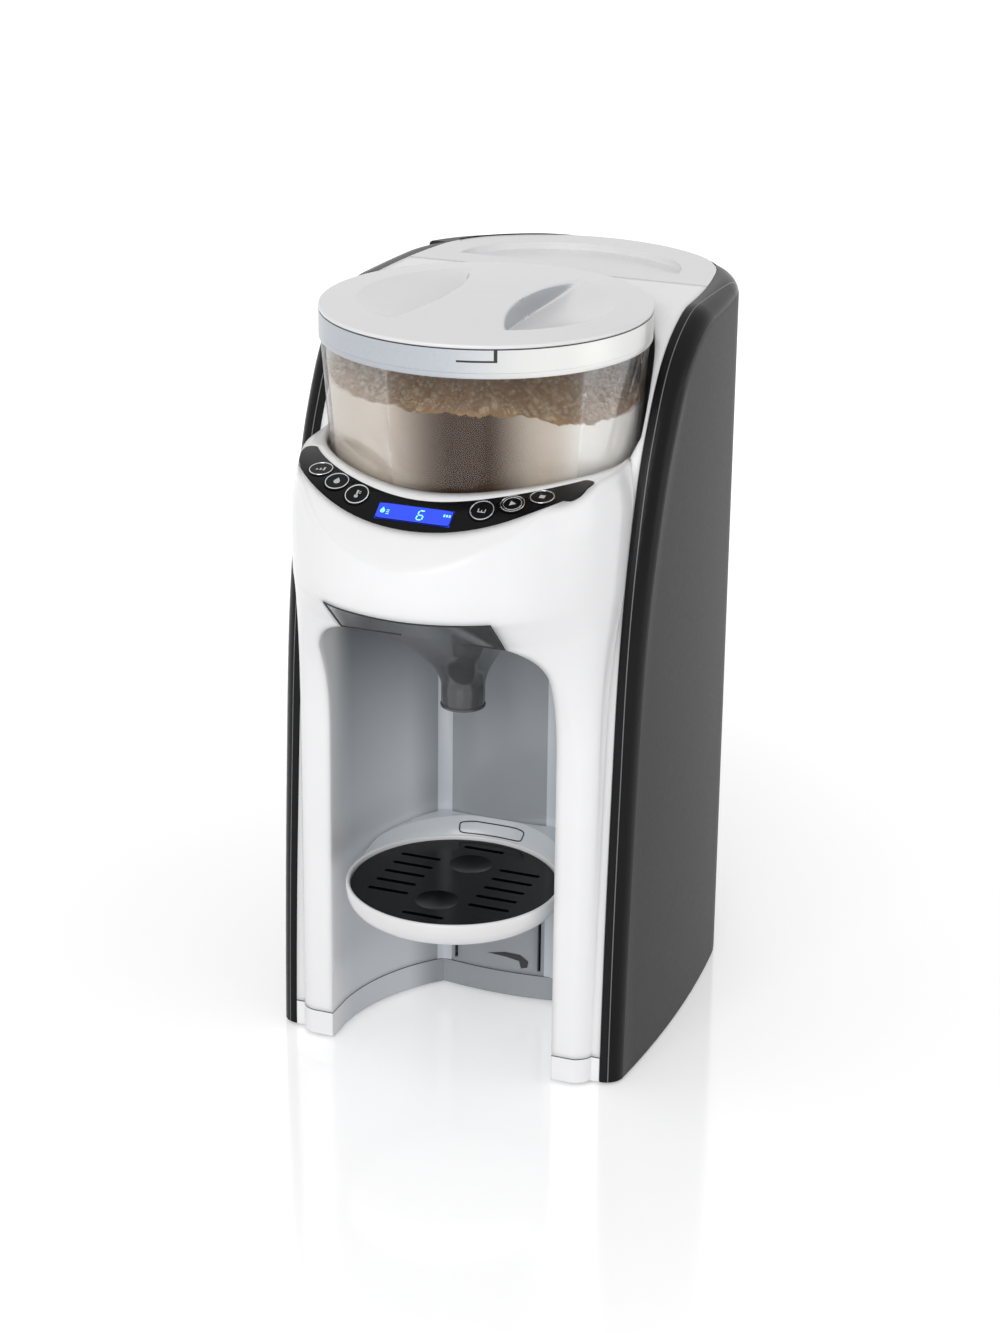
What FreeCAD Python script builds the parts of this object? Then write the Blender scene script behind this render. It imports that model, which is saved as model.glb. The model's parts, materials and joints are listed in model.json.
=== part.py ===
"""Baby formula maker: a parametric model, in millimetres.

+Z is up, the front faces -Y and +X is on the viewer's right.  The origin is the
middle of the floor under the machine.
"""
import FreeCAD, Part
import Sketcher
import math
import os
import re
from FreeCAD import Rotation, Vector

# Driving dimensions: alias, value, what it is.
SIZES = [
    # whole machine
    ("head_front", 141.5, "front of the head from the origin"),
    ("rear_end", 141.5, "back of the rear cover from the origin"),
    ("side_thickness", 12.5, "dark side panel beside the core"),
    ("deck_rise", 60.5, "top deck above the container seat's rim"),
    ("edge_roll", 9.0, "rolled edge of the side panels"),
    ("rear_roll", 2.0, "rolled edge of the rear cover"),
    ("panel_rear", 98.0, "seam between side panels and rear cover"),
    ("skin", 2.5, "wall of the mouldings"),
    ("seam", 0.3, "gap between neighbouring mouldings"),
    ("play", 0.3, "gap round a piece that moves or lifts out"),
    ("foot_height", 1.5, "rubber foot below the base"),
    ("foot_radius", 8.0, "rubber foot"),
    ("base_top", 14.4, "seam between base and housing"),
    # head and legs
    ("nose_radius", 9.6, "rounded front of each leg"),
    ("leg_centre_offset", 66.6, "leg nose from the middle plane"),
    ("leg_front", 84.1, "leg nose in front of the origin"),
    ("chin_bottom", 229.0, "lower edge of the chin and ceiling of the bay"),
    ("chin_height", 18.4, "funnel cover, upper edge above lower"),
    ("head_height", 53.6, "rim of the container seat above the chin"),
    ("chin_set_back", 33.5, "chin's lower edge behind the head's front"),
    ("bay_half_width", 57.5, "bottle bay at its mouth"),
    ("bay_rear_half_width", 29.5, "flat rear wall of the bay"),
    ("bay_rear", 6.3, "rear wall of the bay in front of the origin"),
    ("bay_corner", 20.0, "rounded top corners of the bay"),
    ("tunnel_half_width", 40.5, "opening for the funnel drawer"),
    # powder container
    ("container_y", -31.3, "container axis"),
    ("seat_radius", 74.0, "rim of the container seat"),
    ("seat_border", 5.8, "white core outside that rim"),
    ("seat_depth", 33.0, "container seat, rim to floor"),
    ("seat_lift", 5.0, "container above that floor"),
    ("chute_length", 20.0, "powder chute under the seat"),
    ("coupling_radius", 8.0, "drive coupling"),
    ("spindle_square", 6.0, "square end of the spindle"),
    ("neck_gap", 0.8, "wall of the neck round the collar"),
    ("seat_gap", 3.5, "cup's floor inside the seat"),
    ("cup_taper", 6.4, "clear cup, wider at its top by"),
    ("cup_wall", 2.0, "clear cup"),
    ("cup_height", 82.5, "clear cup"),
    ("collar_step", 0.6, "collar and lid outside the cup"),
    ("collar_height", 10.9, "collar"),
    ("lid_edge", 1.8, "thickness of the lid's rim"),
    ("lid_rise", 3.2, "how far the lid bulges above its rim"),
    ("lid_plug", 7.0, "depth of the lid's plug inside the collar"),
    ("scoop_depth", 9.0, "finger scoops in the lid"),
    ("powder_height", 46.0, "powder above the stirring wheel"),
    # dispensing
    ("outlet_offset", 28.0, "powder outlet in front of the container axis"),
    ("outlet_radius", 9.0, "powder outlet"),
    ("wheel_gap", 2.5, "portion wheel inside the cup's wall"),
    ("wheel_thickness", 6.0, "portion wheel"),
    ("pocket_count", 6.0, "portions in the wheel"),
    ("stirrer_height", 15.0, "stirring wheel"),
    ("spindle_radius", 5.0, "drive spindle of both wheels"),
    # gear train
    ("gear_drop", 13.0, "underside of the gears below the seat's floor"),
    ("gear_width", 6.0, "face width of the gears"),
    ("gear_module", 1.5, "tooth size"),
    ("drive_teeth", 18.0, "teeth of the gear under the container"),
    ("idler_teeth", 22.0, "teeth of the gear between"),
    ("pinion_teeth", 14.0, "teeth of the gear on the motor"),
    ("mesh_gap", 0.35, "added to each centre distance"),
    ("shaft_radius", 3.0, "gear shafts"),
    ("motor_radius", 17.0, "drive motor"),
    ("motor_length", 48.0, "drive motor"),
    # funnel
    ("nozzle_y", -57.0, "axis of the mixing funnel"),
    ("nozzle_radius", 10.5, "funnel outlet, outside"),
    ("nozzle_drop", 54.3, "end of the funnel outlet below the chin"),
    ("nozzle_length", 13.5, "funnel outlet"),
    ("shoulder_drop", 21.0, "where the cone meets the bowl, below the chin"),
    ("shoulder_radius", 27.0, "cone at that height"),
    ("bowl_radius", 33.0, "bowl of the funnel"),
    ("bowl_rise", 13.0, "rim of the bowl above the chin's lower edge"),
    ("funnel_wall", 2.0, "funnel and its cover"),
    # bottle stand
    ("tray_y", -67.3, "centre of the bottle stand"),
    ("grille_radius", 50.0, "drip grille"),
    ("grille_top", 89.0, "top of the drip grille"),
    ("grille_thickness", 2.6, "drip grille"),
    ("tray_radius", 52.4, "bottle stand"),
    ("tray_bottom", 77.5, "underside of the bottle stand"),
    ("bracket_top", 99.0, "rear of the stand on the bay wall"),
    ("groove_x", 22.5, "grooves for the stand's hooks from the middle"),
    ("groove_width", 1.8, "those grooves in the rear wall of the bay"),
    ("slot_pitch", 10.4, "between the grille's slots"),
    ("slot_width", 2.8, "grille slot"),
    ("slot_length", 21.0, "grille slot"),
    # controls
    ("panel_gap", 1.4, "control panel outside the neck"),
    ("panel_width", 13.7, "control panel at the front"),
    ("panel_depth", 2.0, "thickness of the control panel"),
    ("panel_angle", 56.0, "half the sweep of the control panel, in degrees"),
    ("button_margin", 0.95, "panel left beside each button"),
    ("button_rise", 0.5, "button above the panel"),
    ("button_gap", 2.0, "stem under each button"),
    ("button_flange", 0.6, "flange that keeps each button in the panel"),
    ("first_button_angle", 20.5, "degrees from the middle"),
    ("button_spacing", 0.57, "between the flanges of two buttons"),
    ("screen_width", 36.0, "display window"),
    ("screen_margin", 2.55, "panel left in front of and behind the display window"),
    # water system
    ("tank_front", 63.0, "front wall of the water tank"),
    ("tank_bottom", 62.0, "underside of the water tank"),
    ("tank_wall", 2.0, "water tank"),
    ("tank_lid_depth", 9.0, "depth of the tank lid's moulding"),
    ("deck_recess", 3.5, "dished top of the tank lid"),
    ("rear_skin", 2.2, "rear cover at its top edge"),
    ("valve_x", -20.0, "tank outlet across the machine"),
    ("valve_back", 22.0, "tank outlet behind the tank's front wall"),
    ("heater_radius", 13.0, "heater tube"),
    ("heater_low", 70.0, "lower end of the heater"),
    ("heater_length", 110.0, "heater tube"),
    ("hose_radius", 3.0, "water hose"),
    ("shelf_height", 57.0, "shelf under the water tank"),
    ("rear_fitting", 28.0, "switch and cord inlet from the middle"),
    ("rear_fitting_height", 32.0, "switch and cord inlet above the floor"),
    ("rocker_pin", 1.2, "pivot of the power switch"),
    ("rocker_depth", 3.0, "that pivot inside the rear cover"),
]

# Places that follow from those sizes: alias, expression.
PLACES = [
    ("core_half_width", "seat_radius+seat_border"),
    ("shell_half_width", "seat_radius+seat_border+side_thickness"),
    ("cup_bottom_radius", "seat_radius-seat_gap"),
    ("cup_top_radius", "seat_radius-seat_gap+cup_taper"),
    ("powder_taper", "cup_taper/4"),
    ("collar_radius", "seat_radius-seat_gap+cup_taper+collar_step"),
    ("neck_radius", "seat_radius-seat_gap+cup_taper+collar_step+neck_gap"),
    ("wheel_radius", "seat_radius-seat_gap-cup_wall-wheel_gap"),
    ("panel_inner", "seat_radius-seat_gap+cup_taper+collar_step+neck_gap+panel_gap"),
    ("chin_top", "chin_bottom+chin_height"),
    ("seat_rim_height", "chin_bottom+chin_height+head_height"),
    ("deck_height", "chin_bottom+chin_height+head_height+deck_rise"),
    ("seat_floor", "chin_bottom+chin_height+head_height-seat_depth"),
    ("collar_bottom", "chin_bottom+chin_height+head_height-seat_depth+seat_lift+cup_height"),
    ("gear_bottom", "chin_bottom+chin_height+head_height-seat_depth-gear_drop"),
    ("nozzle_bottom", "chin_bottom-nozzle_drop"),
    ("funnel_shoulder", "chin_bottom-shoulder_drop"),
    ("bowl_top", "chin_bottom+bowl_rise"),
    ("panel_outer", "seat_radius-seat_gap+cup_taper+collar_step+neck_gap+panel_gap+panel_width"),
    ("button_path", "seat_radius-seat_gap+cup_taper+collar_step+neck_gap+panel_gap+panel_width/2-0.15"),
    ("button_radius", "panel_width/2-button_margin"),
    ("screen_length", "panel_width-2*screen_margin"),
]

doc = FreeCAD.newDocument("formula_maker")
sheets = {"Sizes": {alias: str(value) for alias, value, _ in SIZES}}


def bound(expression):
    """An expression of plain aliases, written so that it reads the sheets."""
    owner = {alias: name for name, cells in sheets.items() for alias in cells}
    return re.sub(r"[a-z_]+", lambda m: f"{owner[m[0]]}.{m[0]}" if m[0] in owner else m[0], expression)


sheets["Places"] = {alias: "=" + bound(expression) for alias, expression in PLACES}
for name, cells in sheets.items():
    sheet = doc.addObject("Spreadsheet::Sheet", name)
    for row, (alias, value) in enumerate(cells.items(), start=1):
        sheet.set(f"B{row}", value)
        sheet.setAlias(f"B{row}", alias)
for row, (_, _, meaning) in enumerate(SIZES, start=1):
    doc.Sizes.set(f"A{row}", meaning)
doc.recompute()


class SheetReader:
    """Reads a size or place by its alias, for the shapes computed in code."""

    def __getattr__(self, alias):
        return float((doc.Sizes if alias in sheets["Sizes"] else doc.Places).get(alias))


s = SheetReader()
parts = []


# ---------------------------------------------------------------- helpers


def bind(item, **sizes):
    for prop, expression in sizes.items():
        item.setExpression(prop, bound(expression))


def place(item, x="0", y="0", z="0"):
    for axis, expression in zip("xyz", (x, y, z)):
        item.setExpression(f"Placement.Base.{axis}", bound(expression))


def box(name, x, y, z):
    """A box between pairs of expressions: x=(from, to) and so on."""
    item = doc.addObject("Part::Box", name)
    bind(item, Length=f"({x[1]})-({x[0]})", Width=f"({y[1]})-({y[0]})", Height=f"({z[1]})-({z[0]})")
    place(item, x[0], y[0], z[0])
    return item


def cylinder(name, radius, z, x="0", y="0"):
    item = doc.addObject("Part::Cylinder", name)
    bind(item, Radius=radius, Height=f"({z[1]})-({z[0]})")
    place(item, x, y, z[0])
    return item


def fuse(name, *shapes):
    item = doc.addObject("Part::MultiFuse", name)
    item.Shapes = list(shapes)
    item.Refine = True
    return item


def cut(name, base, *tools):
    """Base less every tool."""
    item = doc.addObject("Part::Cut", name)
    item.Base = base
    item.Tool = tools[0] if len(tools) == 1 else fuse(name + "_tools", *tools)
    return item


def tube(name, outer, inner, z, x="0", y="0"):
    return cut(name, cylinder(name + "_outer", outer, z, x, y), cylinder(name + "_bore", inner, z, x, y))


def shaped(name, shape):
    """An object whose shape a function has computed from the sheet."""
    item = doc.addObject("Part::Feature", name)
    item.Shape = shape
    return item


def part(name, item):
    """Finish a piece: its label is the name of its node and file."""
    item.Label = name
    parts.append(item)
    return item


def origin_feature(body, role):
    return [item for item in body.Origin.OriginFeatures if item.Role == role][0]


def turned(name, profile, y="0", z="0"):
    """A body of revolution about a vertical axis.  The profile is a closed sketch
    of straight edges through (radius, height) expressions."""
    body = doc.addObject("PartDesign::Body", name)
    sketch = body.newObject("Sketcher::SketchObject", name + "_profile")
    sketch.AttachmentSupport = (origin_feature(body, "XZ_Plane"), [""])
    sketch.MapMode = "FlatFace"
    count = len(profile)
    turn = 2 * math.pi / count
    start = [Vector(2 + math.cos(turn * i), math.sin(turn * i), 0) for i in range(count)]
    for i in range(count):
        sketch.addGeometry(Part.LineSegment(start[i], start[(i + 1) % count]))
    for i in range(count):
        sketch.addConstraint(Sketcher.Constraint("Coincident", i, 2, (i + 1) % count, 1))
    for i, (radius, height) in enumerate(profile):
        for kind, expression in (("DistanceX", radius), ("DistanceY", height)):
            index = sketch.addConstraint(Sketcher.Constraint(kind, -1, 1, i, 1, 1.0))
            sketch.renameConstraint(index, f"{kind}{i}")
            sketch.setExpression(f"Constraints.{kind}{i}", bound(expression))
    spin = body.newObject("PartDesign::Revolution", name + "_turn")
    spin.Profile = sketch
    spin.ReferenceAxis = (origin_feature(body, "Z_Axis"), [""])
    spin.Angle = 360.0
    place(body, "0", y, z)
    return body


def arc(a, b, c):
    return Part.Arc(Vector(*a), Vector(*b), Vector(*c)).toShape()


def line(a, b):
    return Part.LineSegment(Vector(*a), Vector(*b)).toShape()


def prism_z(wire, low, high):
    """Extrude a plan drawn at z = 0 between two heights."""
    solid = Part.Face(wire).extrude(Vector(0, 0, high - low))
    solid.translate(Vector(0, 0, low))
    return solid


def prism_x(wire, half_width):
    """Extrude a side view drawn at x = 0 to both sides."""
    solid = Part.Face(wire).extrude(Vector(2 * half_width, 0, 0))
    solid.translate(Vector(-half_width, 0, 0))
    return solid


def block(x, y, z):
    """A box between pairs of numbers."""
    return Part.makeBox(x[1] - x[0], y[1] - y[0], z[1] - z[0], Vector(x[0], y[0], z[0]))


def turned_shape(profile, centre_y):
    """Revolve (radius, height) numbers about a vertical axis."""
    corners = [Vector(radius, 0, height) for radius, height in profile]
    face = Part.Face(Part.makePolygon(corners + corners[:1]))
    solid = face.revolve(Vector(0, 0, 0), Vector(0, 0, 1), 360)
    solid.translate(Vector(0, centre_y, 0))
    return solid


def shift(shape, x=0.0, y=0.0, z=0.0):
    moved = shape.copy()
    moved.translate(Vector(x, y, z))
    return moved


def grown(face, distance):
    """A plan face with its outline moved outwards (or inwards, below zero)."""
    return face.makeOffset2D(distance)


# ---------------------------------------------------------------- outlines
def plan_outline(inset_front, side, corner, bend, rear_side, rear):
    """Plan of the machine, symmetric about x = 0: each side is one arc from the
    front through `side` to `corner`, then a corner arc through `bend` to
    `rear_side`, and one arc through `rear` across the back."""
    flip = lambda p: (-p[0], p[1])
    at = lambda p: (p[0], p[1], 0)
    f, m, c, b, e, r = [at(p) for p in (inset_front, side, corner, bend, rear_side, rear)]
    g = [at(flip(p)) for p in (inset_front, side, corner, bend, rear_side)]
    return Part.Wire([line(g[0], f), arc(f, m, c), arc(c, b, e), arc(e, r, g[4]),
                      arc(g[4], g[3], g[2]), arc(g[2], g[1], g[0])])


def shell_plan():
    """Outside of the dark side panels and rear cover."""
    half, rear = s.shell_half_width, s.rear_end
    return plan_outline((half - 6, -95), (half, -14), (half - 3.8, 75),
                        (half - 13.4, rear - 38.9), (half - 33.3, rear - 19), (0, rear))


def deck_plan():
    """Outside of the white deck, inside the dark shell."""
    half, rear = s.core_half_width, s.rear_end - s.rear_skin
    return plan_outline((half, 15), (half - 1.8, 58), (half - 6.4, 88),
                        (half - 13, rear - 32.8), (half - 24.8, rear - 18.8), (0, rear))


def side_curve(points, start, end):
    curve = Part.BSplineCurve()
    curve.interpolate([Vector(0, y, z) for y, z in points], InitialTangent=Vector(0, *start),
                      FinalTangent=Vector(0, *end))
    return curve.toShape()


def neck_points():
    """Side view of the neck's upper half, which the white top and the dark
    shell share: from behind the control panel up to the deck."""
    deck = s.deck_height
    return [(-33.4, deck - 45.5), (-14.5, deck - 18.9), (-1, deck - 8.9), (10, deck - 3.7), (28, deck)]


def top_curve():
    """Side view of the white top, from under the panel's front edge to the deck."""
    rim = s.seat_rim_height
    front = [(-150, rim - 38), (-126.5, rim - 16.5), (-116.5, rim - 9), (-108.5, rim - 4), (-97.5, rim - 0.5),
             (-77.5, rim + 2), (-54.5, rim + 2.4), (-42.5, rim + 4.5)]
    return side_curve(front + neck_points(), (0.7, 0.7), (1, 0))


def below_top(drop=0.0):
    """Everything under the white top, as a block to intersect with."""
    curve = top_curve()
    y0, y1 = curve.valueAt(curve.FirstParameter), curve.valueAt(curve.LastParameter)
    far = s.rear_end + 40
    edges = [curve, line((0, y1.y, y1.z), (0, far, y1.z)), line((0, far, y1.z), (0, far, -20)),
             line((0, far, -20), (0, y0.y, -20)), line((0, y0.y, -20), (0, y0.y, y0.z))]
    return shift(prism_x(Part.Wire(edges), 120), z=-drop)


def shell_side(set_back=0.0):
    """Everything behind the dark shell's front edge and under the deck."""
    deck = s.deck_height
    slope = [(-74.0, 0.2573), (-69.6, 0.4343), (-62.5, 0.6224), (-54, 0.7264), (-47.5, 0.7856),
             (-40, 0.83956)]
    low = [(-77.9, -5)] + [(y, share * deck) for y, share in slope]
    curve = side_curve(low + neck_points(), (0.02, 1), (1, 0))
    far = s.rear_end + 40
    edges = [curve, line((0, 28, deck), (0, far, deck)), line((0, far, deck), (0, far, -5)),
             line((0, far, -5), (0, -77.9, -5))]
    return shift(prism_x(Part.Wire(edges), 120), y=set_back)


def plan_curve(points, height, first, last):
    """Plan curve through points at equal parameters, with its end tangents."""
    curve = Part.BSplineCurve()
    curve.interpolate([Vector(x, y, height) for x, y in points],
                      Parameters=[i / (len(points) - 1) for i in range(len(points))],
                      InitialTangent=Vector(*first, 0), FinalTangent=Vector(*last, 0))
    return curve.toShape()


def ring(height, corner, corner_ends, front, front_start):
    """Closed plan at one level, symmetric about x = 0: a corner from each side
    to the front, the front between them, and straight sides back to y = -20."""
    (ax, ay), (bx, by) = corner_ends
    mirrored = [(-x, y) for x, y in reversed(corner)]
    right = plan_curve(corner, height, *corner_ends)
    middle = plan_curve(front, height, front_start, (front_start[0], -front_start[1]))
    left = plan_curve(mirrored, height, (bx, -by), (ax, -ay))
    (x, y), back = corner[0], -20
    return Part.Wire([right, middle, left, line((-x, y, height), (-x, back, height)),
                      line((-x, back, height), (x, back, height)), line((x, back, height), (x, y, height))])


def head_section(height, across, forward, centre=-55.7, middle=46.0):
    """One level of the head: half an ellipse in front of straight sides."""
    split = math.acos(middle / across)
    rest = math.pi - 2 * split
    at = lambda t: (across * math.cos(t), centre - forward * math.sin(t))
    slope = lambda t, k: (-across * math.sin(t) * k, -forward * math.cos(t) * k)
    corner = [at(split * i / 4) for i in range(5)]
    front = [at(split + rest * i / 4) for i in range(5)]
    return ring(height, corner, (slope(0, split), slope(split, split)), front, slope(split, rest))


def leg_section(height, share, inset=0.0):
    """Plan of the legs at one level: their noses grow into the chin's corners
    as `share` runs from 0 to 1."""
    nose = s.nose_radius
    low = (s.leg_centre_offset + nose, s.leg_centre_offset, -s.leg_front, nose - s.leg_front)
    high = (s.core_half_width - 1.6, 46, s.chin_set_back - s.head_front, -66)
    half, middle, front, side_y = [a + (b - a) * share for a, b in zip(low, high)]
    half, front = half - inset, front + inset
    radius = ((half - middle) ** 2 + (side_y - front) ** 2) / (2 * (half - middle))
    sweep = math.atan2(side_y - front, middle - half + radius)
    at = lambda a: (half - radius + radius * math.cos(a), side_y - radius * math.sin(a))
    slope = lambda a: (-radius * sweep * math.sin(a), -radius * sweep * math.cos(a))
    corner = [at(sweep * i / 4) for i in range(5)]
    line_front = [(middle * (1 - i / 2), corner[-1][1]) for i in range(5)]
    return ring(height, corner, (slope(0), slope(sweep)), line_front, (-2 * middle, 0))


def head_block(wall=0.0):
    """The bowed head, or its hollow one wall inside: its chin runs back under
    it to a straight lower edge."""
    half, bow = s.core_half_width - wall, s.head_front - 56.0 - wall
    top = s.chin_top
    rise = s.head_height / 53.6
    shrink = [(0, 0, 2.3), (5, 0, 0.9), (11, 0, 0.1), (17, 0, 0.1), (23, 0, 0.4), (30, 0.1, 1.2),
              (37, 0.4, 2.2), (44, 1.4, 3.6), (51, 3, 5.2), (57, 5, 7.2), (70, 10, 13)]
    levels = [(top + up * rise, half - narrower, bow - shorter) for up, narrower, shorter in shrink]
    head = Part.makeLoft([head_section(*level) for level in levels], True, False)
    chin_edge = leg_section(s.chin_bottom, 1, wall)
    return head.fuse(Part.makeLoft([chin_edge, head_section(*levels[0])], True, True))


def leg_block():
    """Both legs in one, sweeping forward to meet the chin."""
    top, reach = s.chin_bottom, 65
    levels = [(top - 90, 0), (top - 77, 0)]
    levels += [(top - reach * (1 - t), t ** 2.5) for t in (0, 0.2, 0.4, 0.6, 0.8, 1.0)]
    sweep = Part.makeLoft([leg_section(*level) for level in levels], True, False)
    return leg_prism(-10, top - 90).fuse(sweep).fuse(prism_z(leg_section(0, 1), top, top + 10))


def leg_prism(low, high):
    """The straight lower part of both legs."""
    return prism_z(leg_section(0, 0), low, high)


def core_block(low, high):
    """White core behind the legs; its rear half follows the deck's outline."""
    front, split, rear = -78, 15, s.tank_front - s.seam
    straight = block((-s.core_half_width, s.core_half_width), (front, split), (low, high))
    deck = prism_z(deck_plan(), low, high).common(block((-120, 120), (split, rear), (low, high)))
    return straight.fuse(deck).removeSplitter()


def bay_plan(inset=0.0):
    """Plan of the bottle bay: curved sides and a nearly flat rear wall."""
    mouth, rear = s.bay_half_width, s.bay_rear_half_width
    deep = -s.bay_rear
    right = (mouth, -s.leg_front + 4, 0)
    left = (-mouth, -s.leg_front + 4, 0)
    wire = Part.Wire([line((mouth, -170, 0), right), arc(right, (mouth - 7.4, -36.6, 0), (rear, deep, 0)),
                      arc((rear, deep, 0), (0, deep - 2.6, 0), (-rear, deep, 0)),
                      arc((-rear, deep, 0), (-mouth + 7.4, -36.6, 0), left),
                      line(left, (-mouth, -170, 0)), line((-mouth, -170, 0), (mouth, -170, 0))])
    face = Part.Face(wire)
    return grown(face, -inset) if inset else face


def bay_space():
    """The open bottle bay, with its rounded upper corners."""
    half, top, corner = s.bay_half_width, s.chin_bottom, s.bay_corner
    low, far = -10, -170
    diag = corner * (1 - math.sqrt(0.5))
    at = lambda x, z: (x, far, z)
    right = (at(half, top - corner), at(half - diag, top - diag), at(half - corner, top))
    left = (at(corner - half, top), at(diag - half, top - diag), at(-half, top - corner))
    front = Part.Wire([line(at(-half, low), at(half, low)), line(at(half, low), right[0]), arc(*right),
                       line(right[2], left[0]), arc(*left), line(left[2], at(-half, low))])
    tunnel = Part.Face(front).extrude(Vector(0, 200, 0))
    plan = bay_plan().extrude(Vector(0, 0, top - low))
    plan.translate(Vector(0, 0, low))
    return tunnel.common(plan)


def seat_space():
    """Room for the container: straight to its rim, then flared to the neck."""
    rim = s.seat_rim_height
    return turned_shape([(0, s.seat_floor), (s.seat_radius, s.seat_floor), (s.seat_radius, rim),
                         (s.neck_radius, rim + 12), (s.neck_radius, s.deck_height + 30),
                         (0, s.deck_height + 30)], s.container_y)


def drawer_space(clearance=0.0):
    """The opening for the funnel drawer, from the chin back over the bay."""
    half = s.tunnel_half_width + clearance
    return block((-half, half), (-s.head_front - 20, s.nozzle_y + s.bowl_radius + 5),
                 (s.chin_bottom - 1, s.chin_top + clearance))


# ---------------------------------------------------------------- casing
def white_body():
    """Outside of head, legs and core in one, before it is hollowed."""
    core = core_block(-10, s.deck_height + 5).common(shell_side(-0.4))
    return head_block().fuse(leg_block()).fuse(core).common(below_top())


def inner_space():
    """Hollow behind the bay and inside the head."""
    side = s.core_half_width - s.skin
    wall = -s.bay_rear + s.skin
    rear = block((-side, side), (wall, s.rear_end), (-10, s.deck_height - s.skin))
    roof = s.chin_bottom + s.skin
    head = head_block(s.skin).common(block((-90, 90), (-s.head_front, 0), (roof, 400)))
    front = block((2 * s.skin - side, side - 2 * s.skin), (-40, wall + 1), (roof, s.deck_height - s.skin))
    return rear.fuse(head).fuse(front)


def front_housing():
    hollow = inner_space().common(below_top(2 * s.skin))
    limits = block((-120, 120), (-200, s.tank_front), (s.base_top, 500))
    seat_wall = s.seat_radius + s.skin + s.seam
    under_rim = shift(Part.makeCylinder(seat_wall, s.seat_rim_height - 6 - s.chin_bottom), y=s.container_y,
                      z=s.chin_bottom)
    rooms = [hollow, bay_space(), drawer_space(s.seam), seat_space(), under_rim]
    solid = white_body().common(limits)
    for room in rooms:
        solid = solid.cut(room)
    for room in (panel_block(s.seam, s.seam), panel_well(), display_board(s.seam), stand_grooves()):
        solid = solid.cut(room)
    return solid


def panel_well():
    """Opening under the control panel, inside the ledge that carries it."""
    return prism_z(panel_plan(-1.0), s.seat_rim_height - 30, s.seat_rim_height + 10)


def stand_grooves():
    """Upright grooves in the bay's rear wall that the bottle stand's hooks run in."""
    bottom, top, half, wall = s.base_top + s.skin, s.bracket_top - 2, s.groove_width / 2, -s.bay_rear
    grooves = [block((x - half, x + half), (wall - 5, wall + 9), (bottom, top))
               for x in (-s.groove_x, s.groove_x)]
    return grooves[0].fuse(grooves[1])


def base_plate():
    """Skirt under the housing with a floor that carries the inner parts."""
    low, high = s.foot_height, s.base_top
    outside = leg_prism(low, high).fuse(core_block(low, high).common(shell_side(-0.4)))
    rear = prism_z(deck_plan(), s.foot_height, s.base_top).common(block((-120, 120), (50, 200), (0, 60)))
    solid = outside.fuse(rear).cut(bay_space())
    side = s.core_half_width - 2 * s.skin
    pocket = block((-side, side), (-s.bay_rear + 2 * s.skin, s.tank_front + 10), (low + s.skin, high + 5))
    rear_pocket = block((2 * s.skin - side, side - 2 * s.skin), (s.tank_front, s.tank_front + 42),
                        (low + s.skin, high + 5))
    return solid.removeSplitter().cut(pocket.fuse(rear_pocket))


def shell_block():
    """Dark shell before it is split: its front edges are rolled, and so is the
    top edge, ever less towards the rear."""
    item = shaped("shell", prism_z(shell_plan(), s.foot_height, s.deck_height + 5).common(shell_side()))
    roll = lambda vertex: s.edge_roll if vertex.Y < s.panel_rear else s.rear_roll
    rolled = doc.addObject("Part::Fillet", "rolled_shell")
    rolled.Base = item
    rolled.Edges = [(i, roll(edge.Vertexes[0]), roll(edge.Vertexes[-1]))
                    for i, edge in enumerate(item.Shape.Edges, start=1) if is_rolled(edge.BoundBox)]
    doc.recompute()
    return rolled.Shape


def is_rolled(bounds):
    """Whether an edge of the shell is on the deck behind the neck or on the slope."""
    on_deck = bounds.YMax > 30 and bounds.ZMin > s.deck_height - 1
    return on_deck or (bounds.ZLength > 0.8 * s.deck_height and bounds.YLength > 50)


def side_panel(shell):
    """The right side: a rolled front edge over a hollow moulding."""
    half = s.core_half_width + s.seam
    region = block((half, 120), (-200, 25), (-10, 500)).fuse(block((60, 120), (25, s.panel_rear), (-10, 500)))
    solid = shell.common(region)
    inside = prism_z(grown(Part.Face(deck_plan()), s.seam).OuterWire, -10, 500)
    solid = solid.cut(inside.common(block((-90, 90), (25, 200), (-10, 500))))
    outer = grown(Part.Face(shell_plan()), -s.skin - 0.8)
    room = prism_z(outer.OuterWire, s.base_top, s.deck_height - 24)
    room = room.common(block((half - 1, half + 7), (-45, s.panel_rear - 8), (-10, 500)))
    return solid.cut(room.common(shell_side(12)))


def rear_cover(shell):
    """Curved back of the dark shell, behind the side panels."""
    solid = shell.common(block((-120, 120), (s.panel_rear + s.seam, 200), (-10, 500)))
    return solid.cut(prism_z(grown(Part.Face(deck_plan()), s.seam).OuterWire, -10, 500))


def tank_plan(inset):
    """Plan of the water tank: the rear of the deck, moved in by a wall."""
    face = grown(Part.Face(deck_plan()), -inset)
    front = Part.Face(Part.makePolygon([Vector(x, y, 0) for x, y in
                      ((-120, s.tank_front + inset), (120, s.tank_front + inset), (120, 200), (-120, 200),
                       (-120, s.tank_front + inset))]))
    return face.common(front).Faces[0]


def tank_prism(inset, low, high):
    return prism_z(tank_plan(inset).OuterWire, low, high)


def water_tank():
    top = s.deck_height - s.tank_lid_depth - s.play
    outer = tank_prism(s.skin, s.tank_bottom, top)
    inner = tank_prism(s.skin + s.tank_wall, s.tank_bottom + s.tank_wall, top + 5)
    outlet = Part.makeCylinder(6, 30, Vector(s.valve_x, s.tank_front + s.valve_back, s.tank_bottom - 5))
    return outer.cut(inner).cut(outlet)


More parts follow.
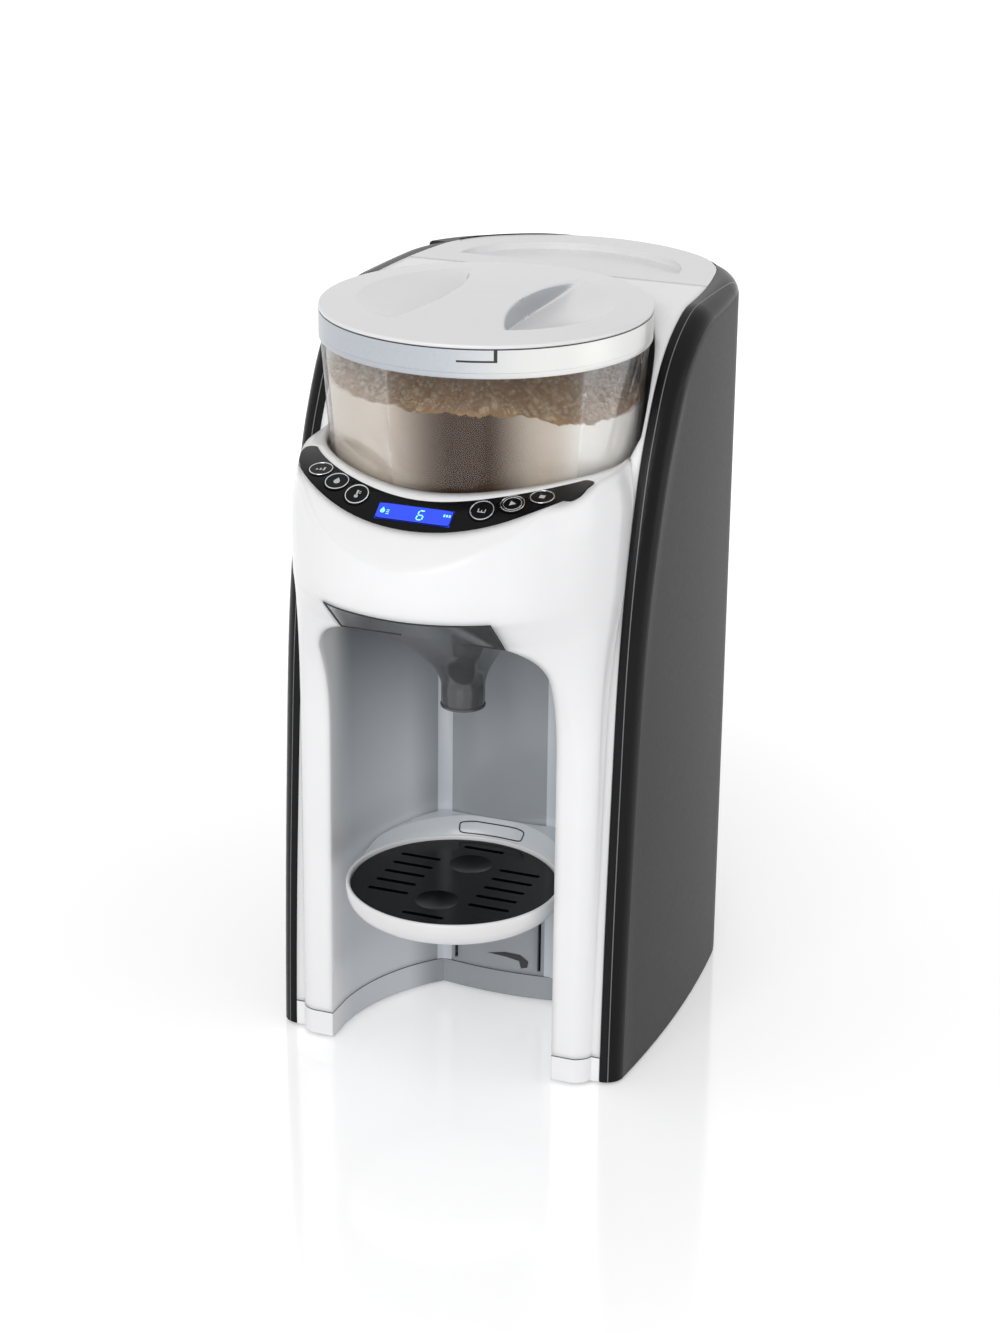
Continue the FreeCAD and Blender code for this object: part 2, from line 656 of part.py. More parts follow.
def tank_lid():
    """White rear deck: a rim round a dished top, with a plug into the tank."""
    top, bottom = s.deck_height, s.deck_height - s.tank_lid_depth
    rim = tank_prism(0.0, bottom, top)
    dish = tank_prism(17.0, top - s.deck_recess, top + 5)
    under = tank_prism(s.skin + s.tank_wall + s.play + s.skin, bottom - 10, top - s.deck_recess - s.skin)
    plug = tank_prism(s.skin + s.tank_wall + s.play, bottom - 4, bottom + 1)
    return rim.fuse(plug).removeSplitter().cut(dish).cut(under)


# ---------------------------------------------------------------- controls
def panel_plan(margin=0.0):
    """Plan of the control panel: a crescent round the container seat whose outer
    arc is flatter than its inner one, with rounded tips."""
    inner, outer, half = s.panel_inner - margin, s.panel_outer + margin, math.radians(s.panel_angle)
    tip = inner + 5.5 + 2 * margin
    at = lambda r, a: (r * math.sin(a), s.container_y - r * math.cos(a), 0)
    reach = half + margin / inner
    shoulder = half * 0.8
    curve = Part.BSplineCurve()
    spine = [at(tip, -reach), at(outer - 0.8, -shoulder), at(outer + 0.9, -half * 0.45), at(outer, 0),
             at(outer + 0.9, half * 0.45), at(outer - 0.8, shoulder), at(tip, reach)]
    curve.interpolate([Vector(*p) for p in spine])
    end = lambda sign: arc(at(inner, sign * (reach - 0.03)), at((inner + tip) / 2, sign * (reach + 0.02)),
                           at(tip, sign * reach))
    inside = arc(at(inner, -reach + 0.03), at(inner, 0), at(inner, reach - 0.03))
    return Part.Wire([inside, end(1), curve.toShape(), end(-1)])


def panel_block(margin=0.0, extra_depth=0.0):
    """The control panel as it lies in the white top."""
    prism = prism_z(panel_plan(margin), s.seat_rim_height - 60, s.seat_rim_height + 40)
    return prism.common(below_top(-0.15)).cut(below_top(s.panel_depth + extra_depth))


def surface_height(y):
    """Height of the white top above a place on the middle plane."""
    ray = line((0, y, 250), (0, y, 400))
    return ray.distToShape(top_curve())[1][0][0].z


def button_frames():
    """Name, centre, tilt and side of the six buttons."""
    frames = []
    step = 2 * math.asin((s.button_radius + s.button_flange + s.button_spacing / 2) / s.button_path)
    for side, names in ((-1, ("temperature", "amount", "strength")), (1, ("units", "start", "stop"))):
        for i, name in enumerate(names):
            angle = math.radians(s.first_button_angle) + i * step
            x, y = side * s.button_path * math.sin(angle), s.container_y - s.button_path * math.cos(angle)
            slope = math.atan2(surface_height(y + 2) - surface_height(y - 2), 4)
            frames.append((name + "_button", Vector(x, y, surface_height(y)), slope))
    return frames


def on_panel(solid, centre, slope):
    """Stand a piece made round the origin on the panel."""
    piece = solid.copy()
    piece.rotate(Vector(0, 0, 0), Vector(1, 0, 0), math.degrees(slope))
    piece.translate(centre)
    return piece


def button(centre, slope):
    radius, deep = s.button_radius, s.panel_depth + 1.5
    cap = Part.makeCylinder(radius, s.button_rise + deep, Vector(0, 0, -deep))
    flange = Part.makeCylinder(radius + s.button_flange, 0.8, Vector(0, 0, -deep))
    top = [e for e in cap.Edges if abs(e.CenterOfMass.z - s.button_rise) < 0.01 and len(e.Vertexes) == 1]
    stem = Part.makeCylinder(1.5, s.button_gap, Vector(0, 0, -deep - s.button_gap))
    piece = on_panel(cap.makeFillet(0.3, top).fuse(flange).fuse(stem).removeSplitter(), centre, slope)
    return piece.common(prism_z(panel_plan(-1.55), 200, 400))


def control_panel():
    """Glossy black crescent with holes for the buttons and the display."""
    solid = panel_block()
    for _, centre, slope in button_frames():
        hole = Part.makeCylinder(s.button_radius + s.play, 12, Vector(0, 0, -6))
        solid = solid.cut(on_panel(hole, centre, slope))
    return solid.cut(screen_block(s.seam))


def screen_frame():
    """Middle of the display and the slope of the panel there."""
    y = s.container_y - s.button_path
    slope = math.atan2(surface_height(y + 2) - surface_height(y - 2), 4)
    return Vector(0, y, surface_height(y)), slope


def screen_block(margin=0.0):
    half, long = s.screen_width / 2 + margin, s.screen_length / 2 + margin
    return on_panel(block((-half, half), (-long, long), (-3.5 - margin, 0.4 + margin)), *screen_frame())


def display_board(margin=0.0):
    """Circuit board on the back of the display window."""
    half, long, top = s.screen_width / 2 + 1 + margin, s.screen_length / 2 + margin, -3.6
    return on_panel(block((-half, half), (-long, long), (top - 1.6 - margin, top)), *screen_frame())


# ---------------------------------------------------------------- lid and gears
def container_lid():
    """Domed lid with two finger scoops either side of a grip bar."""
    radius, rise, edge = s.collar_radius, s.lid_rise, s.lid_edge
    low = s.collar_bottom + s.collar_height + s.seam / 3
    dome_radius = (radius ** 2 + rise ** 2) / (2 * rise)
    disc = Part.makeCylinder(radius, edge + rise, Vector(0, 0, low))
    dome = Part.makeSphere(dome_radius, Vector(0, 0, low + edge + rise - dome_radius))
    plug_radius = radius - 2 * s.cup_wall - s.play
    plug = Part.makeCylinder(plug_radius, s.lid_plug + 0.5, Vector(0, 0, low - s.lid_plug))
    room = Part.makeCylinder(plug_radius - s.skin, s.lid_plug, Vector(0, 0, low - s.lid_plug))
    top = low + edge + rise
    pans = scoop(top, s.funnel_wall).common(dome)
    return shift(disc.common(dome).fuse(plug).cut(room).fuse(pans).cut(scoop(top + 0.2)), y=s.container_y)


def scoop(top, margin=0.0):
    """Both scoops: deep beside the grip bar, running out to the lid's face."""
    reach, bar, waist, outer = 49 + margin, 27 - margin, 16.5 - margin, 60.5 + margin
    wire = Part.Wire([arc((bar, -reach, 0), (waist, 0, 0), (bar, reach, 0)),
                      arc((bar, reach, 0), (outer, 0, 0), (bar, -reach, 0))])
    prism = prism_z(wire, top - 20, top)
    depth, foot = s.scoop_depth + margin, 0.6 + margin
    wedge = Part.Wire([line((waist - 2, -60, top), (waist - 2, -60, top - depth)),
                       line((waist - 2, -60, top - depth), (waist + 14, -60, top - depth)),
                       line((waist + 14, -60, top - depth), (outer + 2, -60, top - foot)),
                       line((outer + 2, -60, top - foot), (outer + 2, -60, top)),
                       line((outer + 2, -60, top), (waist - 2, -60, top))])
    well = prism.common(Part.Face(wedge).extrude(Vector(0, 120, 0)))
    return well.fuse(well.mirror(Vector(0, 0, 0), Vector(1, 0, 0)))


def gear(teeth, y, turn):
    """Spur gear with straight-sided teeth, turned by a share of its pitch."""
    module, width = s.gear_module, s.gear_width
    pitch, root, tip = module * teeth / 2, module * (teeth / 2 - 1.2), module * (teeth / 2 + 0.9)
    step = 2 * math.pi / teeth
    outline = []
    for i in range(int(teeth)):
        for radius, share in ((root, -0.36), (tip, -0.13), (tip, 0.13), (root, 0.36)):
            angle = (i + share + turn) * step
            outline.append(Vector(radius * math.cos(angle), radius * math.sin(angle), 0))
    wheel = Part.Face(Part.makePolygon(outline + outline[:1])).extrude(Vector(0, 0, width))
    bore = Part.makeCylinder(s.shaft_radius, width + 2, Vector(0, 0, -1))
    return shift(wheel.cut(bore), y=y, z=s.gear_bottom)


def gear_centres():
    """Places of the three gears, from the container axis back to the motor."""
    module = s.gear_module
    first = s.container_y
    second = first + module * (s.drive_teeth + s.idler_teeth) / 2 + s.mesh_gap
    third = second + module * (s.idler_teeth + s.pinion_teeth) / 2 + s.mesh_gap
    return first, second, third


def portion_wheel():
    wheel = Part.makeCylinder(s.wheel_radius, s.wheel_thickness)
    hub = Part.makeCylinder(s.spindle_radius, s.wheel_thickness)
    wheel = wheel.cut(hub)
    for i in range(int(s.pocket_count)):
        angle = 2 * math.pi * (i + 0.5) / s.pocket_count - math.pi / 2
        centre = Vector(s.outlet_offset * math.cos(angle), s.outlet_offset * math.sin(angle), 0)
        wheel = wheel.cut(Part.makeCylinder(s.outlet_radius, s.wheel_thickness, centre))
    return shift(wheel, y=s.container_y, z=s.seat_floor + s.seat_lift + s.cup_wall + s.play)


def stirring_wheel():
    low = s.seat_floor + s.seat_lift + s.cup_wall + 2 * s.play + s.wheel_thickness
    hub = Part.makeCylinder(s.spindle_radius + 4, s.stirrer_height)
    wheel = hub
    for i in range(4):
        blade = block((0, s.wheel_radius - 1), (-1.6, 1.6), (0, s.stirrer_height * 0.4))
        blade.rotate(Vector(0, 0, 0), Vector(0, 0, 1), 90 * i + 45)
        wheel = wheel.fuse(blade)
    wheel = wheel.removeSplitter().cut(Part.makeCylinder(s.spindle_radius, s.stirrer_height))
    return shift(wheel, y=s.container_y, z=low)


# ---------------------------------------------------------------- funnel
def funnel_cover():
    """Smoky front of the drawer: the chin's own surface, as a thin wall."""
    half = s.tunnel_half_width - s.seam
    space = block((-half, half), (-s.head_front - 10, -90), (s.chin_bottom + s.seam, s.chin_top - s.seam))
    front = head_block().common(space)
    inner = shift(head_block(), y=s.funnel_wall + 0.6, z=1.0)
    return front.cut(inner.common(block((-200, 200), (-200, 0), (s.chin_bottom - 1, s.chin_top + 20))))


def mixing_funnel():
    """Nozzle, cone and bowl in one, with a flat frame that runs in the rails."""
    wall, low = s.funnel_wall, s.nozzle_bottom
    neck = low + s.nozzle_length
    outside = [(0, low), (s.nozzle_radius, low), (s.nozzle_radius, neck),
               (s.shoulder_radius, s.funnel_shoulder), (s.bowl_radius, s.funnel_shoulder + 14),
               (s.bowl_radius, s.bowl_top), (0, s.bowl_top)]
    inside = [(0, low - 1), (s.nozzle_radius - wall, low - 1), (s.nozzle_radius - wall, neck),
              (s.shoulder_radius - wall, s.funnel_shoulder), (s.bowl_radius - wall, s.funnel_shoulder + 14),
              (s.bowl_radius - wall, s.bowl_top + 1), (0, s.bowl_top + 1)]
    outer, inner = turned_shape(outside, s.nozzle_y), turned_shape(inside, s.nozzle_y)
    half = s.tunnel_half_width - 2 * s.seam
    frame = block((-half, half), (-s.head_front + s.chin_set_back + 6, s.nozzle_y + s.bowl_radius),
                  (s.bowl_top - 4, s.bowl_top - 1))
    return outer.fuse(frame).removeSplitter().cut(inner)


def drawer_rails():
    """Runners in the head that the drawer's frame slides on."""
    half = s.tunnel_half_width
    low = s.bowl_top - 4 - s.play
    y = (-s.head_front + s.chin_set_back + 12, s.nozzle_y + s.bowl_radius)
    rails = [block(x, y, (low - 2, low)) for x in ((half - 3.5, half + 2), (-half - 2, -half + 3.5))]
    return Part.makeCompound(rails)


# ---------------------------------------------------------------- bottle stand
def bottle_stand():
    """Round tray with a raised rear that follows the bay's walls."""
    low, rim = s.tray_bottom, s.grille_top + 1.6
    tray = shift(Part.makeCone(s.tray_radius - 0.8, s.tray_radius, rim - low), y=s.tray_y, z=low)
    bracket = bay_plan(3 * s.play).extrude(Vector(0, 0, s.bracket_top - low))
    bracket = shift(bracket, z=low).common(block((-60, 60), (s.tray_y + 20, 20), (0, 200)))
    bowl = shift(Part.makeCone(s.grille_radius + 0.6, s.grille_radius + 9, s.bracket_top - s.grille_top + 2),
                 y=s.tray_y, z=s.grille_top - 0.5)
    well = Part.makeCylinder(s.grille_radius - 2.5, 40, Vector(0, s.tray_y, low + s.skin))
    ledge = Part.makeCylinder(s.grille_radius + s.seam, 40,
                              Vector(0, s.tray_y, s.grille_top - s.grille_thickness))
    solid = tray.fuse(bracket).removeSplitter()
    for room in (bowl.common(block((-90, 90), (s.tray_y, 90), (0, 200))), well, ledge):
        solid = solid.cut(room)
    half = s.groove_width / 2 - s.play
    for x in (-s.groove_x, s.groove_x):
        stem = block((x - half, x + half), (-s.bay_rear - 3, -s.bay_rear + 5), (low + 3, low + 15))
        head = block((x - 4, x + 4), (-s.bay_rear + 2.9, -s.bay_rear + 5), (low + 3, low + 15))
        solid = solid.fuse(stem).fuse(head)
    return solid.removeSplitter()


def drip_grille():
    """Black disc with rows of drain slots and two finger dimples."""
    thick, radius = s.grille_thickness, s.grille_radius
    disc = Part.makeCylinder(radius, thick)
    disc = disc.makeFillet(0.6, [e for e in disc.Edges if abs(e.CenterOfMass.z - thick) < 0.01 and e.Closed])
    slots = [(side * (s.slot_length / 2 + 15.4), row * s.slot_pitch)
             for side in (-1, 1) for row in range(-2, 3)]
    slots += [(0, -40), (0, 40)]
    for x, y in slots:
        disc = disc.cut(slot(x, y, s.slot_length, s.slot_width, thick))
    for y in (-22, 22):
        dimple = Part.makeSphere(40, Vector(0, y, thick + 38.6))
        disc = disc.cut(dimple)
    return shift(disc, y=s.tray_y, z=s.grille_top - thick)


def slot(x, y, length, width, depth):
    reach = (length - width) / 2
    middle = block((x - reach, x + reach), (y - width / 2, y + width / 2), (-1, depth + 1))
    for end in (-reach, reach):
        middle = middle.fuse(Part.makeCylinder(width / 2, depth + 2, Vector(x + end, y, -1)))
    return middle.removeSplitter()


# ---------------------------------------------------------------- inner parts
def container_seat():
    """Well that the container stands in, with the chute down to the funnel."""
    floor, wall = s.seat_floor, s.skin
    radius = s.seat_radius
    top = s.seat_rim_height - 6 - s.seam
    well = turned_shape([(0, floor - wall), (radius + wall, floor - wall), (radius + wall, top),
                         (radius, top), (radius, floor), (0, floor)], s.container_y)
    rest = turned_shape([(s.cup_bottom_radius - 8, floor - 0.5), (s.cup_bottom_radius - 3, floor - 0.5),
                         (s.cup_bottom_radius - 3, floor + s.seat_lift - s.play),
                         (s.cup_bottom_radius - 8, floor + s.seat_lift - s.play)], s.container_y)
    y = s.container_y - s.outlet_offset
    chute = Part.makeCylinder(s.outlet_radius + s.skin, s.chute_length,
                              Vector(0, y, floor - s.chute_length - 0.5))
    bore = Part.makeCylinder(s.outlet_radius, s.chute_length + 9, Vector(0, y, floor - s.chute_length - 1))
    hub = Part.makeCylinder(s.coupling_radius + s.play, 2 * wall + 2,
                            Vector(0, s.container_y, floor - wall - 1))
    return well.fuse(rest).fuse(chute).removeSplitter().cut(bore).cut(hub)


def drive_coupling():
    """Shaft under the container with a square socket for the spindle."""
    low, top = s.gear_bottom - 4, s.seat_floor + s.seat_lift - 1
    shaft = Part.makeCylinder(s.shaft_radius - 0.02, s.gear_width + 5, Vector(0, 0, low))
    head = Part.makeCylinder(s.coupling_radius, top - s.gear_bottom - s.gear_width - 0.2,
                             Vector(0, 0, s.gear_bottom + s.gear_width + 0.2))
    side = s.spindle_square / 2 + s.play
    socket = block((-side, side), (-side, side), (top - 4, top + 1))
    return shift(shaft.fuse(head).removeSplitter().cut(socket), y=s.container_y)


def drive_spindle():
    """Spindle through the cup: round in its floor, square in the coupling."""
    top = s.seat_floor + s.seat_lift
    side = s.spindle_square / 2
    tail = block((-side, side), (-side, side), (top - 4, top + 0.5))
    reach = s.cup_wall + 2 * s.play + s.wheel_thickness + s.stirrer_height - 0.5
    post = Part.makeCylinder(s.spindle_radius - 0.02, reach, Vector(0, 0, top))
    return shift(tail.fuse(post), y=s.container_y)


def gear_plate():
    """Plate under the gears, hung from the container seat on four posts."""
    low, y = s.gear_bottom - 4, gear_centres()
    plate = block((-24, 24), (y[0] - 8, y[2] + 20), (low, low + 3))
    for x in (-20, 20):
        for post_y in (y[0] + 12, y[2] + 15):
            post = Part.makeCylinder(3, s.seat_floor - s.skin - low, Vector(x, post_y, low))
            plate = plate.fuse(post)
    plate = plate.removeSplitter()
    for centre in (y[0], y[2]):
        plate = plate.cut(Part.makeCylinder(s.shaft_radius, 20, Vector(0, centre, low - 5)))
    pin = Part.makeCylinder(s.shaft_radius - 0.02, s.gear_width + 3, Vector(0, y[1], low + 2))
    return plate.fuse(pin)


def motor_shaft():
    y = gear_centres()[2]
    low = s.gear_bottom - 4 - s.motor_length * 0.3
    return Part.makeCylinder(s.shaft_radius - 0.02, s.gear_bottom + s.gear_width - low, Vector(0, y, low))


def drive_motor():
    y, top = gear_centres()[2], s.gear_bottom - 4
    can = Part.makeCylinder(s.motor_radius, s.motor_length, Vector(0, y, top - s.motor_length))
    rims = [e for e in can.Edges if e.Closed]
    boss = Part.makeCylinder(s.motor_radius * 0.4, 3, Vector(0, y, top - s.motor_length - 3))
    depth = 0.3 * s.motor_length
    bore = Part.makeCylinder(s.shaft_radius + 0.03, depth + 1, Vector(0, y, top - depth))
    return can.makeFillet(1.5, rims).fuse(boss).cut(bore)


def hose(points, bend):
    """Water hose: straight runs joined by tangent arcs."""
    route = [Vector(*p) for p in points]
    edges, start = [], route[0]
    for before, corner, after in zip(route, route[1:], route[2:]):
        inward, outward = (before - corner).normalize(), (after - corner).normalize()
        angle = inward.getAngle(outward)
        reach = bend / math.tan(angle / 2)
        a, b = corner + inward * reach, corner + outward * reach
        towards = (inward + outward).normalize()
        middle = corner + towards * (bend / math.sin(angle / 2) - bend)
        edges += [Part.LineSegment(start, a).toShape(), Part.Arc(a, middle, b).toShape()]
        start = b
    edges.append(Part.LineSegment(start, route[-1]).toShape())
    path = Part.Wire(edges)
    ring = Part.Wire(Part.Circle(route[0], route[1] - route[0], s.hose_radius).toShape())
    return path.makePipeShell([ring], True, False)


def heater_centre():
    return Vector(s.core_half_width - 3 * s.heater_radius, s.tank_front - 2.6 * s.heater_radius, 0)


def pump_centre():
    return Vector(s.valve_x - 2, s.tank_front + s.valve_back, s.base_top + 20)


def water_heater():
    """Heater tube with its two end caps."""
    centre = heater_centre()
    body = Part.makeCylinder(s.heater_radius, s.heater_length, centre + Vector(0, 0, s.heater_low))
    for z in (s.heater_low - 4, s.heater_low + s.heater_length - 4):
        body = body.fuse(Part.makeCylinder(s.heater_radius + 1.5, 8, centre + Vector(0, 0, z)))
    return body.removeSplitter()


def water_pump():
    """Pump head and its motor, lying on the base."""
    c = pump_centre()
    motor = Part.makeCylinder(12, 34, Vector(c.x - 40, c.y, c.z), Vector(1, 0, 0))
    head = Part.makeCylinder(15, 16, Vector(c.x - 6, c.y, c.z), Vector(1, 0, 0))
    cradle = block((c.x - 34, c.x + 8), (c.y - 10, c.y + 10), (s.foot_height + s.skin, c.z - 8))
    inlet = Part.makeCylinder(4, s.shelf_height - c.z - 6, Vector(c.x + 2, c.y, c.z + 5))
    return motor.fuse(head).fuse(cradle).fuse(inlet).removeSplitter()


def inner_frame():
    """Upright plate between mechanism and tank, with the shelf for the tank."""
    side, front = s.core_half_width - s.skin - s.seam, s.tank_front - 1
    plate = block((-side, side), (front - 5.5, front - 3), (s.base_top, s.deck_height - 2 * s.skin - s.seam))
    shelf = tank_prism(s.seam, s.shelf_height, s.shelf_height + s.skin)
    lip = block((-side, side), (front - 5.5, s.tank_front + 3), (s.shelf_height, s.shelf_height + s.skin))
    window = block((-46, 46), (front - 9, front), (s.base_top + 12, s.shelf_height - 10))
    heater = heater_centre()
    clips = [block((heater.x - 6, heater.x + 6), (heater.y + s.heater_radius + s.play, front - 5),
                   (z, z + 8)) for z in (s.heater_low + 20, s.heater_low + s.heater_length - 30)]
    solid = plate.fuse(shelf).fuse(lip).fuse(clips[0]).fuse(clips[1]).removeSplitter()
    valve = Part.makeCylinder(7.5, 20, Vector(s.valve_x, s.tank_front + s.valve_back, s.shelf_height - 8))
    return solid.cut(window).cut(valve)


def main_board():
    front = s.tank_front - 6.5
    board = block((-52, 26), (front - 5.6, front - 4), (90, 215))
    for x, z, w, h in ((-40, 100, 18, 24), (-10, 110, 26, 14), (-44, 150, 30, 20), (0, 160, 20, 30)):
        board = board.fuse(block((x, x + w), (front - 12, front - 5), (z, z + h)))
    for x in (-48, 22):
        for z in (94, 211):
            board = board.fuse(Part.makeCylinder(2.5, 4.2, Vector(x, front - 4.2, z), Vector(0, 1, 0)))
    return board.removeSplitter()


def on_rear(solid, side):
    """Stand a piece made round the origin, facing +Y, on the rear cover."""
    x = side * s.rear_fitting
    radius = ((s.shell_half_width - 33.3) ** 2 + 19 ** 2) / 38
    piece = solid.copy()
    piece.rotate(Vector(0, 0, 0), Vector(0, 0, 1), -math.degrees(math.asin(x / radius)))
    piece.translate(Vector(x, s.rear_end - radius + math.sqrt(radius ** 2 - x ** 2), s.rear_fitting_height))
    return piece


def rocker_pin(radius, reach):
    """Pivot of the rocker, across the switch."""
    return Part.makeCylinder(radius, 2 * reach, Vector(-reach, -s.rocker_depth, 0), Vector(1, 0, 0))


def switch_body():
    """Switch housing with bearings for the rocker's pivot."""
    frame = block((-8, 8), (-16, 0.8), (-12, 12)).cut(block((-6, 6), (-9, 5), (-9.9, 9.9)))
    return on_rear(frame.cut(rocker_pin(s.rocker_pin + 0.05, 7.3)), -1)


def power_rocker():
    """Rocker key on its pivot, tipped to its off side."""
    profile = [(-5, -8.4), (2.6, -8.6), (-0.2, 0), (0.6, 8.9), (-5, 8.6), (-7.4, 0)]
    face = Part.Face(Part.makePolygon([Vector(-5.7, y, z) for y, z in profile + profile[:1]]))
    return on_rear(face.extrude(Vector(11.4, 0, 0)).fuse(rocker_pin(s.rocker_pin, 7)), -1)


def cord_inlet():
    collar = Part.makeCylinder(8, 2, Vector(0, 0, 0), Vector(0, 1, 0))
    barrel = Part.makeCylinder(6, 14, Vector(0, -12, 0), Vector(0, 1, 0))
    bore = Part.makeCylinder(3.2, 30, Vector(0, -20, 0), Vector(0, 1, 0))
    return on_rear(collar.fuse(barrel).removeSplitter().cut(bore), 1)


def fitting_holes():
    """Openings in the rear cover for the switch and the cord inlet."""
    gap = s.seam
    switch = block((-8 - gap, 8 + gap), (-30, 10), (-12 - gap, 12 + gap))
    inlet = Part.makeCylinder(6 + gap, 40, Vector(0, -30, 0), Vector(0, 1, 0))
    return on_rear(switch, -1).fuse(on_rear(inlet, 1))


# ---------------------------------------------------------------- assembly
def add(name, shape):
    part(name, shaped(name + "_shape", shape))


add("front_housing", front_housing())
add("base_plate", base_plate())
shell = shell_block()
right_side = side_panel(shell)
add("right_side_panel", right_side)
add("left_side_panel", right_side.mirror(Vector(0, 0, 0), Vector(1, 0, 0)))
add("rear_cover", rear_cover(shell).cut(fitting_holes()))
add("inner_frame", inner_frame())
add("container_seat", container_seat())
add("gear_plate", gear_plate())
add("drive_motor", drive_motor())
add("motor_shaft", motor_shaft())
add("drive_coupling", drive_coupling())
for name, teeth, turn, y in zip(("drive_gear", "idler_gear", "motor_pinion"),
                                (s.drive_teeth, s.idler_teeth, s.pinion_teeth), (0, 0.5, 0), gear_centres()):
    add(name, gear(teeth, y, turn))

# Controls.
add("control_panel", control_panel())
add("display_window", screen_block())
add("display_board", display_board())
for name, centre, slope in button_frames():
    add(name, button(centre, slope))

# Powder container with its wheels: the cup is clear and tapered, the collar opaque.
cup_floor = "seat_floor+seat_lift"
cup = turned("cup", [
    ("0", cup_floor), ("cup_bottom_radius", cup_floor), ("cup_top_radius", "collar_bottom"),
    ("cup_top_radius-cup_wall", "collar_bottom"),
    ("cup_bottom_radius-cup_wall", cup_floor + "+cup_wall"), ("0", cup_floor + "+cup_wall")], "container_y")
through = (cup_floor + "-1", cup_floor + "+cup_wall+1")
part("powder_container", cut(
    "open_cup", cup, cylinder("cup_outlet", "outlet_radius", through, "0", "container_y-outlet_offset"),
    cylinder("cup_hub", "spindle_radius+play", through, "0", "container_y")))
part("container_collar", turned("collar", [
    ("cup_top_radius-cup_wall", "collar_bottom"), ("collar_radius", "collar_bottom"),
    ("collar_radius", "collar_bottom+collar_height"), ("collar_radius-1.6", "collar_bottom+collar_height"),
    ("collar_radius-1.6", "collar_bottom+1.5"), ("cup_top_radius-cup_wall", "collar_bottom+1.5")],
    "container_y"))
add("container_lid", container_lid())
add("portion_wheel", portion_wheel())
add("stirring_wheel", stirring_wheel())
add("drive_spindle", drive_spindle())
powder_low = cup_floor + "+cup_wall+3*play+wheel_thickness+stirrer_height"
part("powder_fill", turned("powder", [
    ("0", powder_low), ("cup_bottom_radius-cup_wall+powder_taper-play", powder_low),
    ("cup_bottom_radius-cup_wall+3*powder_taper-play", powder_low + "+powder_height"),
    ("0", powder_low + "+powder_height")], "container_y"))

# Mixing funnel drawer, bottle stand.
add("funnel_cover", funnel_cover())
add("mixing_funnel", mixing_funnel())
add("drawer_rails", drawer_rails())
add("bottle_stand", bottle_stand())
add("drip_grille", drip_grille())

# Water system.
add("water_tank", water_tank())
add("tank_lid", tank_lid())
valve_low = "shelf_height-0.5"
part("tank_valve", tube("valve", "5.7", "2", (valve_low, "tank_bottom+tank_wall"), "valve_x",
                        "tank_front+valve_back"))
add("water_pump", water_pump())
add("water_heater", water_heater())
heater, pump = heater_centre(), pump_centre()
heater_top = s.heater_low + s.heater_length + 4
spray = Vector(17, s.nozzle_y + 2, s.bowl_top + 8)
add("pump_hose", hose([(pump.x + 10, pump.y, pump.z), (heater.x, pump.y, pump.z),
                       (heater.x, heater.y, pump.z), (heater.x, heater.y, s.heater_low - 4)], 9))
add("outlet_hose", hose([(heater.x, heater.y, heater_top), (heater.x, heater.y, spray.z + 4),
                         (heater.x, spray.y, spray.z + 4), (spray.x + 5, spray.y, spray.z + 4)], 9))
part("spray_nozzle", fuse("spray", tube(
    "spray_tip", "2.4", "0.9", (str(spray.z - 5), str(spray.z + 1)), str(spray.x), str(spray.y)),
    box("spray_block", (str(spray.x - 5), str(spray.x + 5)), (str(spray.y - 5), str(spray.y + 5)),
        (str(spray.z), "seat_floor-skin"))))

# Electrics and feet.
add("main_board", main_board())
add("switch_body", switch_body())
add("power_rocker", power_rocker())
add("cord_inlet", cord_inlet())
feet = [cylinder(f"foot_{i}", "foot_radius", ("0", "foot_height"), x, y) for i, (x, y) in enumerate((
    ("leg_centre_offset", "nose_radius-leg_front+2"), ("-leg_centre_offset", "nose_radius-leg_front+2"),
    ("core_half_width-24", "rear_end-42"), ("24-core_half_width", "rear_end-42")))]
part("rubber_feet", fuse("feet", *feet))
doc.recompute()

failed = [item.Name for item in doc.Objects if "Invalid" in item.State or "Error" in item.State]
if failed:
    raise RuntimeError("failed objects: " + ", ".join(failed))
os.makedirs("parts", exist_ok=True)
for item in parts:
    shape = item.Shape
    if shape.isNull() or not shape.isValid():
        raise RuntimeError(item.Label + " has no valid shape")
    shape.exportStep(f"parts/{item.Label}.step")
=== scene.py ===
"""Finish of a baby formula maker: materials, fine pieces, light and camera."""
import json
import math
import random

import bmesh
import bpy
from mathutils import Matrix, Vector, noise


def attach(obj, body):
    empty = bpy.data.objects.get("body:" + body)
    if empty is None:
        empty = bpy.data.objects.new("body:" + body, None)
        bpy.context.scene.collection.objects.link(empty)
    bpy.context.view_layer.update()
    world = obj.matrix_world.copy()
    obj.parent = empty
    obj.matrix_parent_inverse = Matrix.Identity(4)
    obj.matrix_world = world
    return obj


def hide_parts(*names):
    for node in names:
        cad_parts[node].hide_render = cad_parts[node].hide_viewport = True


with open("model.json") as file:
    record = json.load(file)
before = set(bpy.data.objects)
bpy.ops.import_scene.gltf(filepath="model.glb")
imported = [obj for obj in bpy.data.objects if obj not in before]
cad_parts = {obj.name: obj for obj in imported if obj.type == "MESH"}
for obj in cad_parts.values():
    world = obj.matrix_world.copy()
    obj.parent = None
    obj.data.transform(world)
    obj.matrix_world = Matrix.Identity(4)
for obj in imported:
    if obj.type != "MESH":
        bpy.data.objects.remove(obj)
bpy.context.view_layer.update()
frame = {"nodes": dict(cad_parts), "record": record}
NODES = frame["nodes"]
MM = 0.001
SHARP_ANGLE = math.radians(32)  # an edge bent more than this is drawn sharp

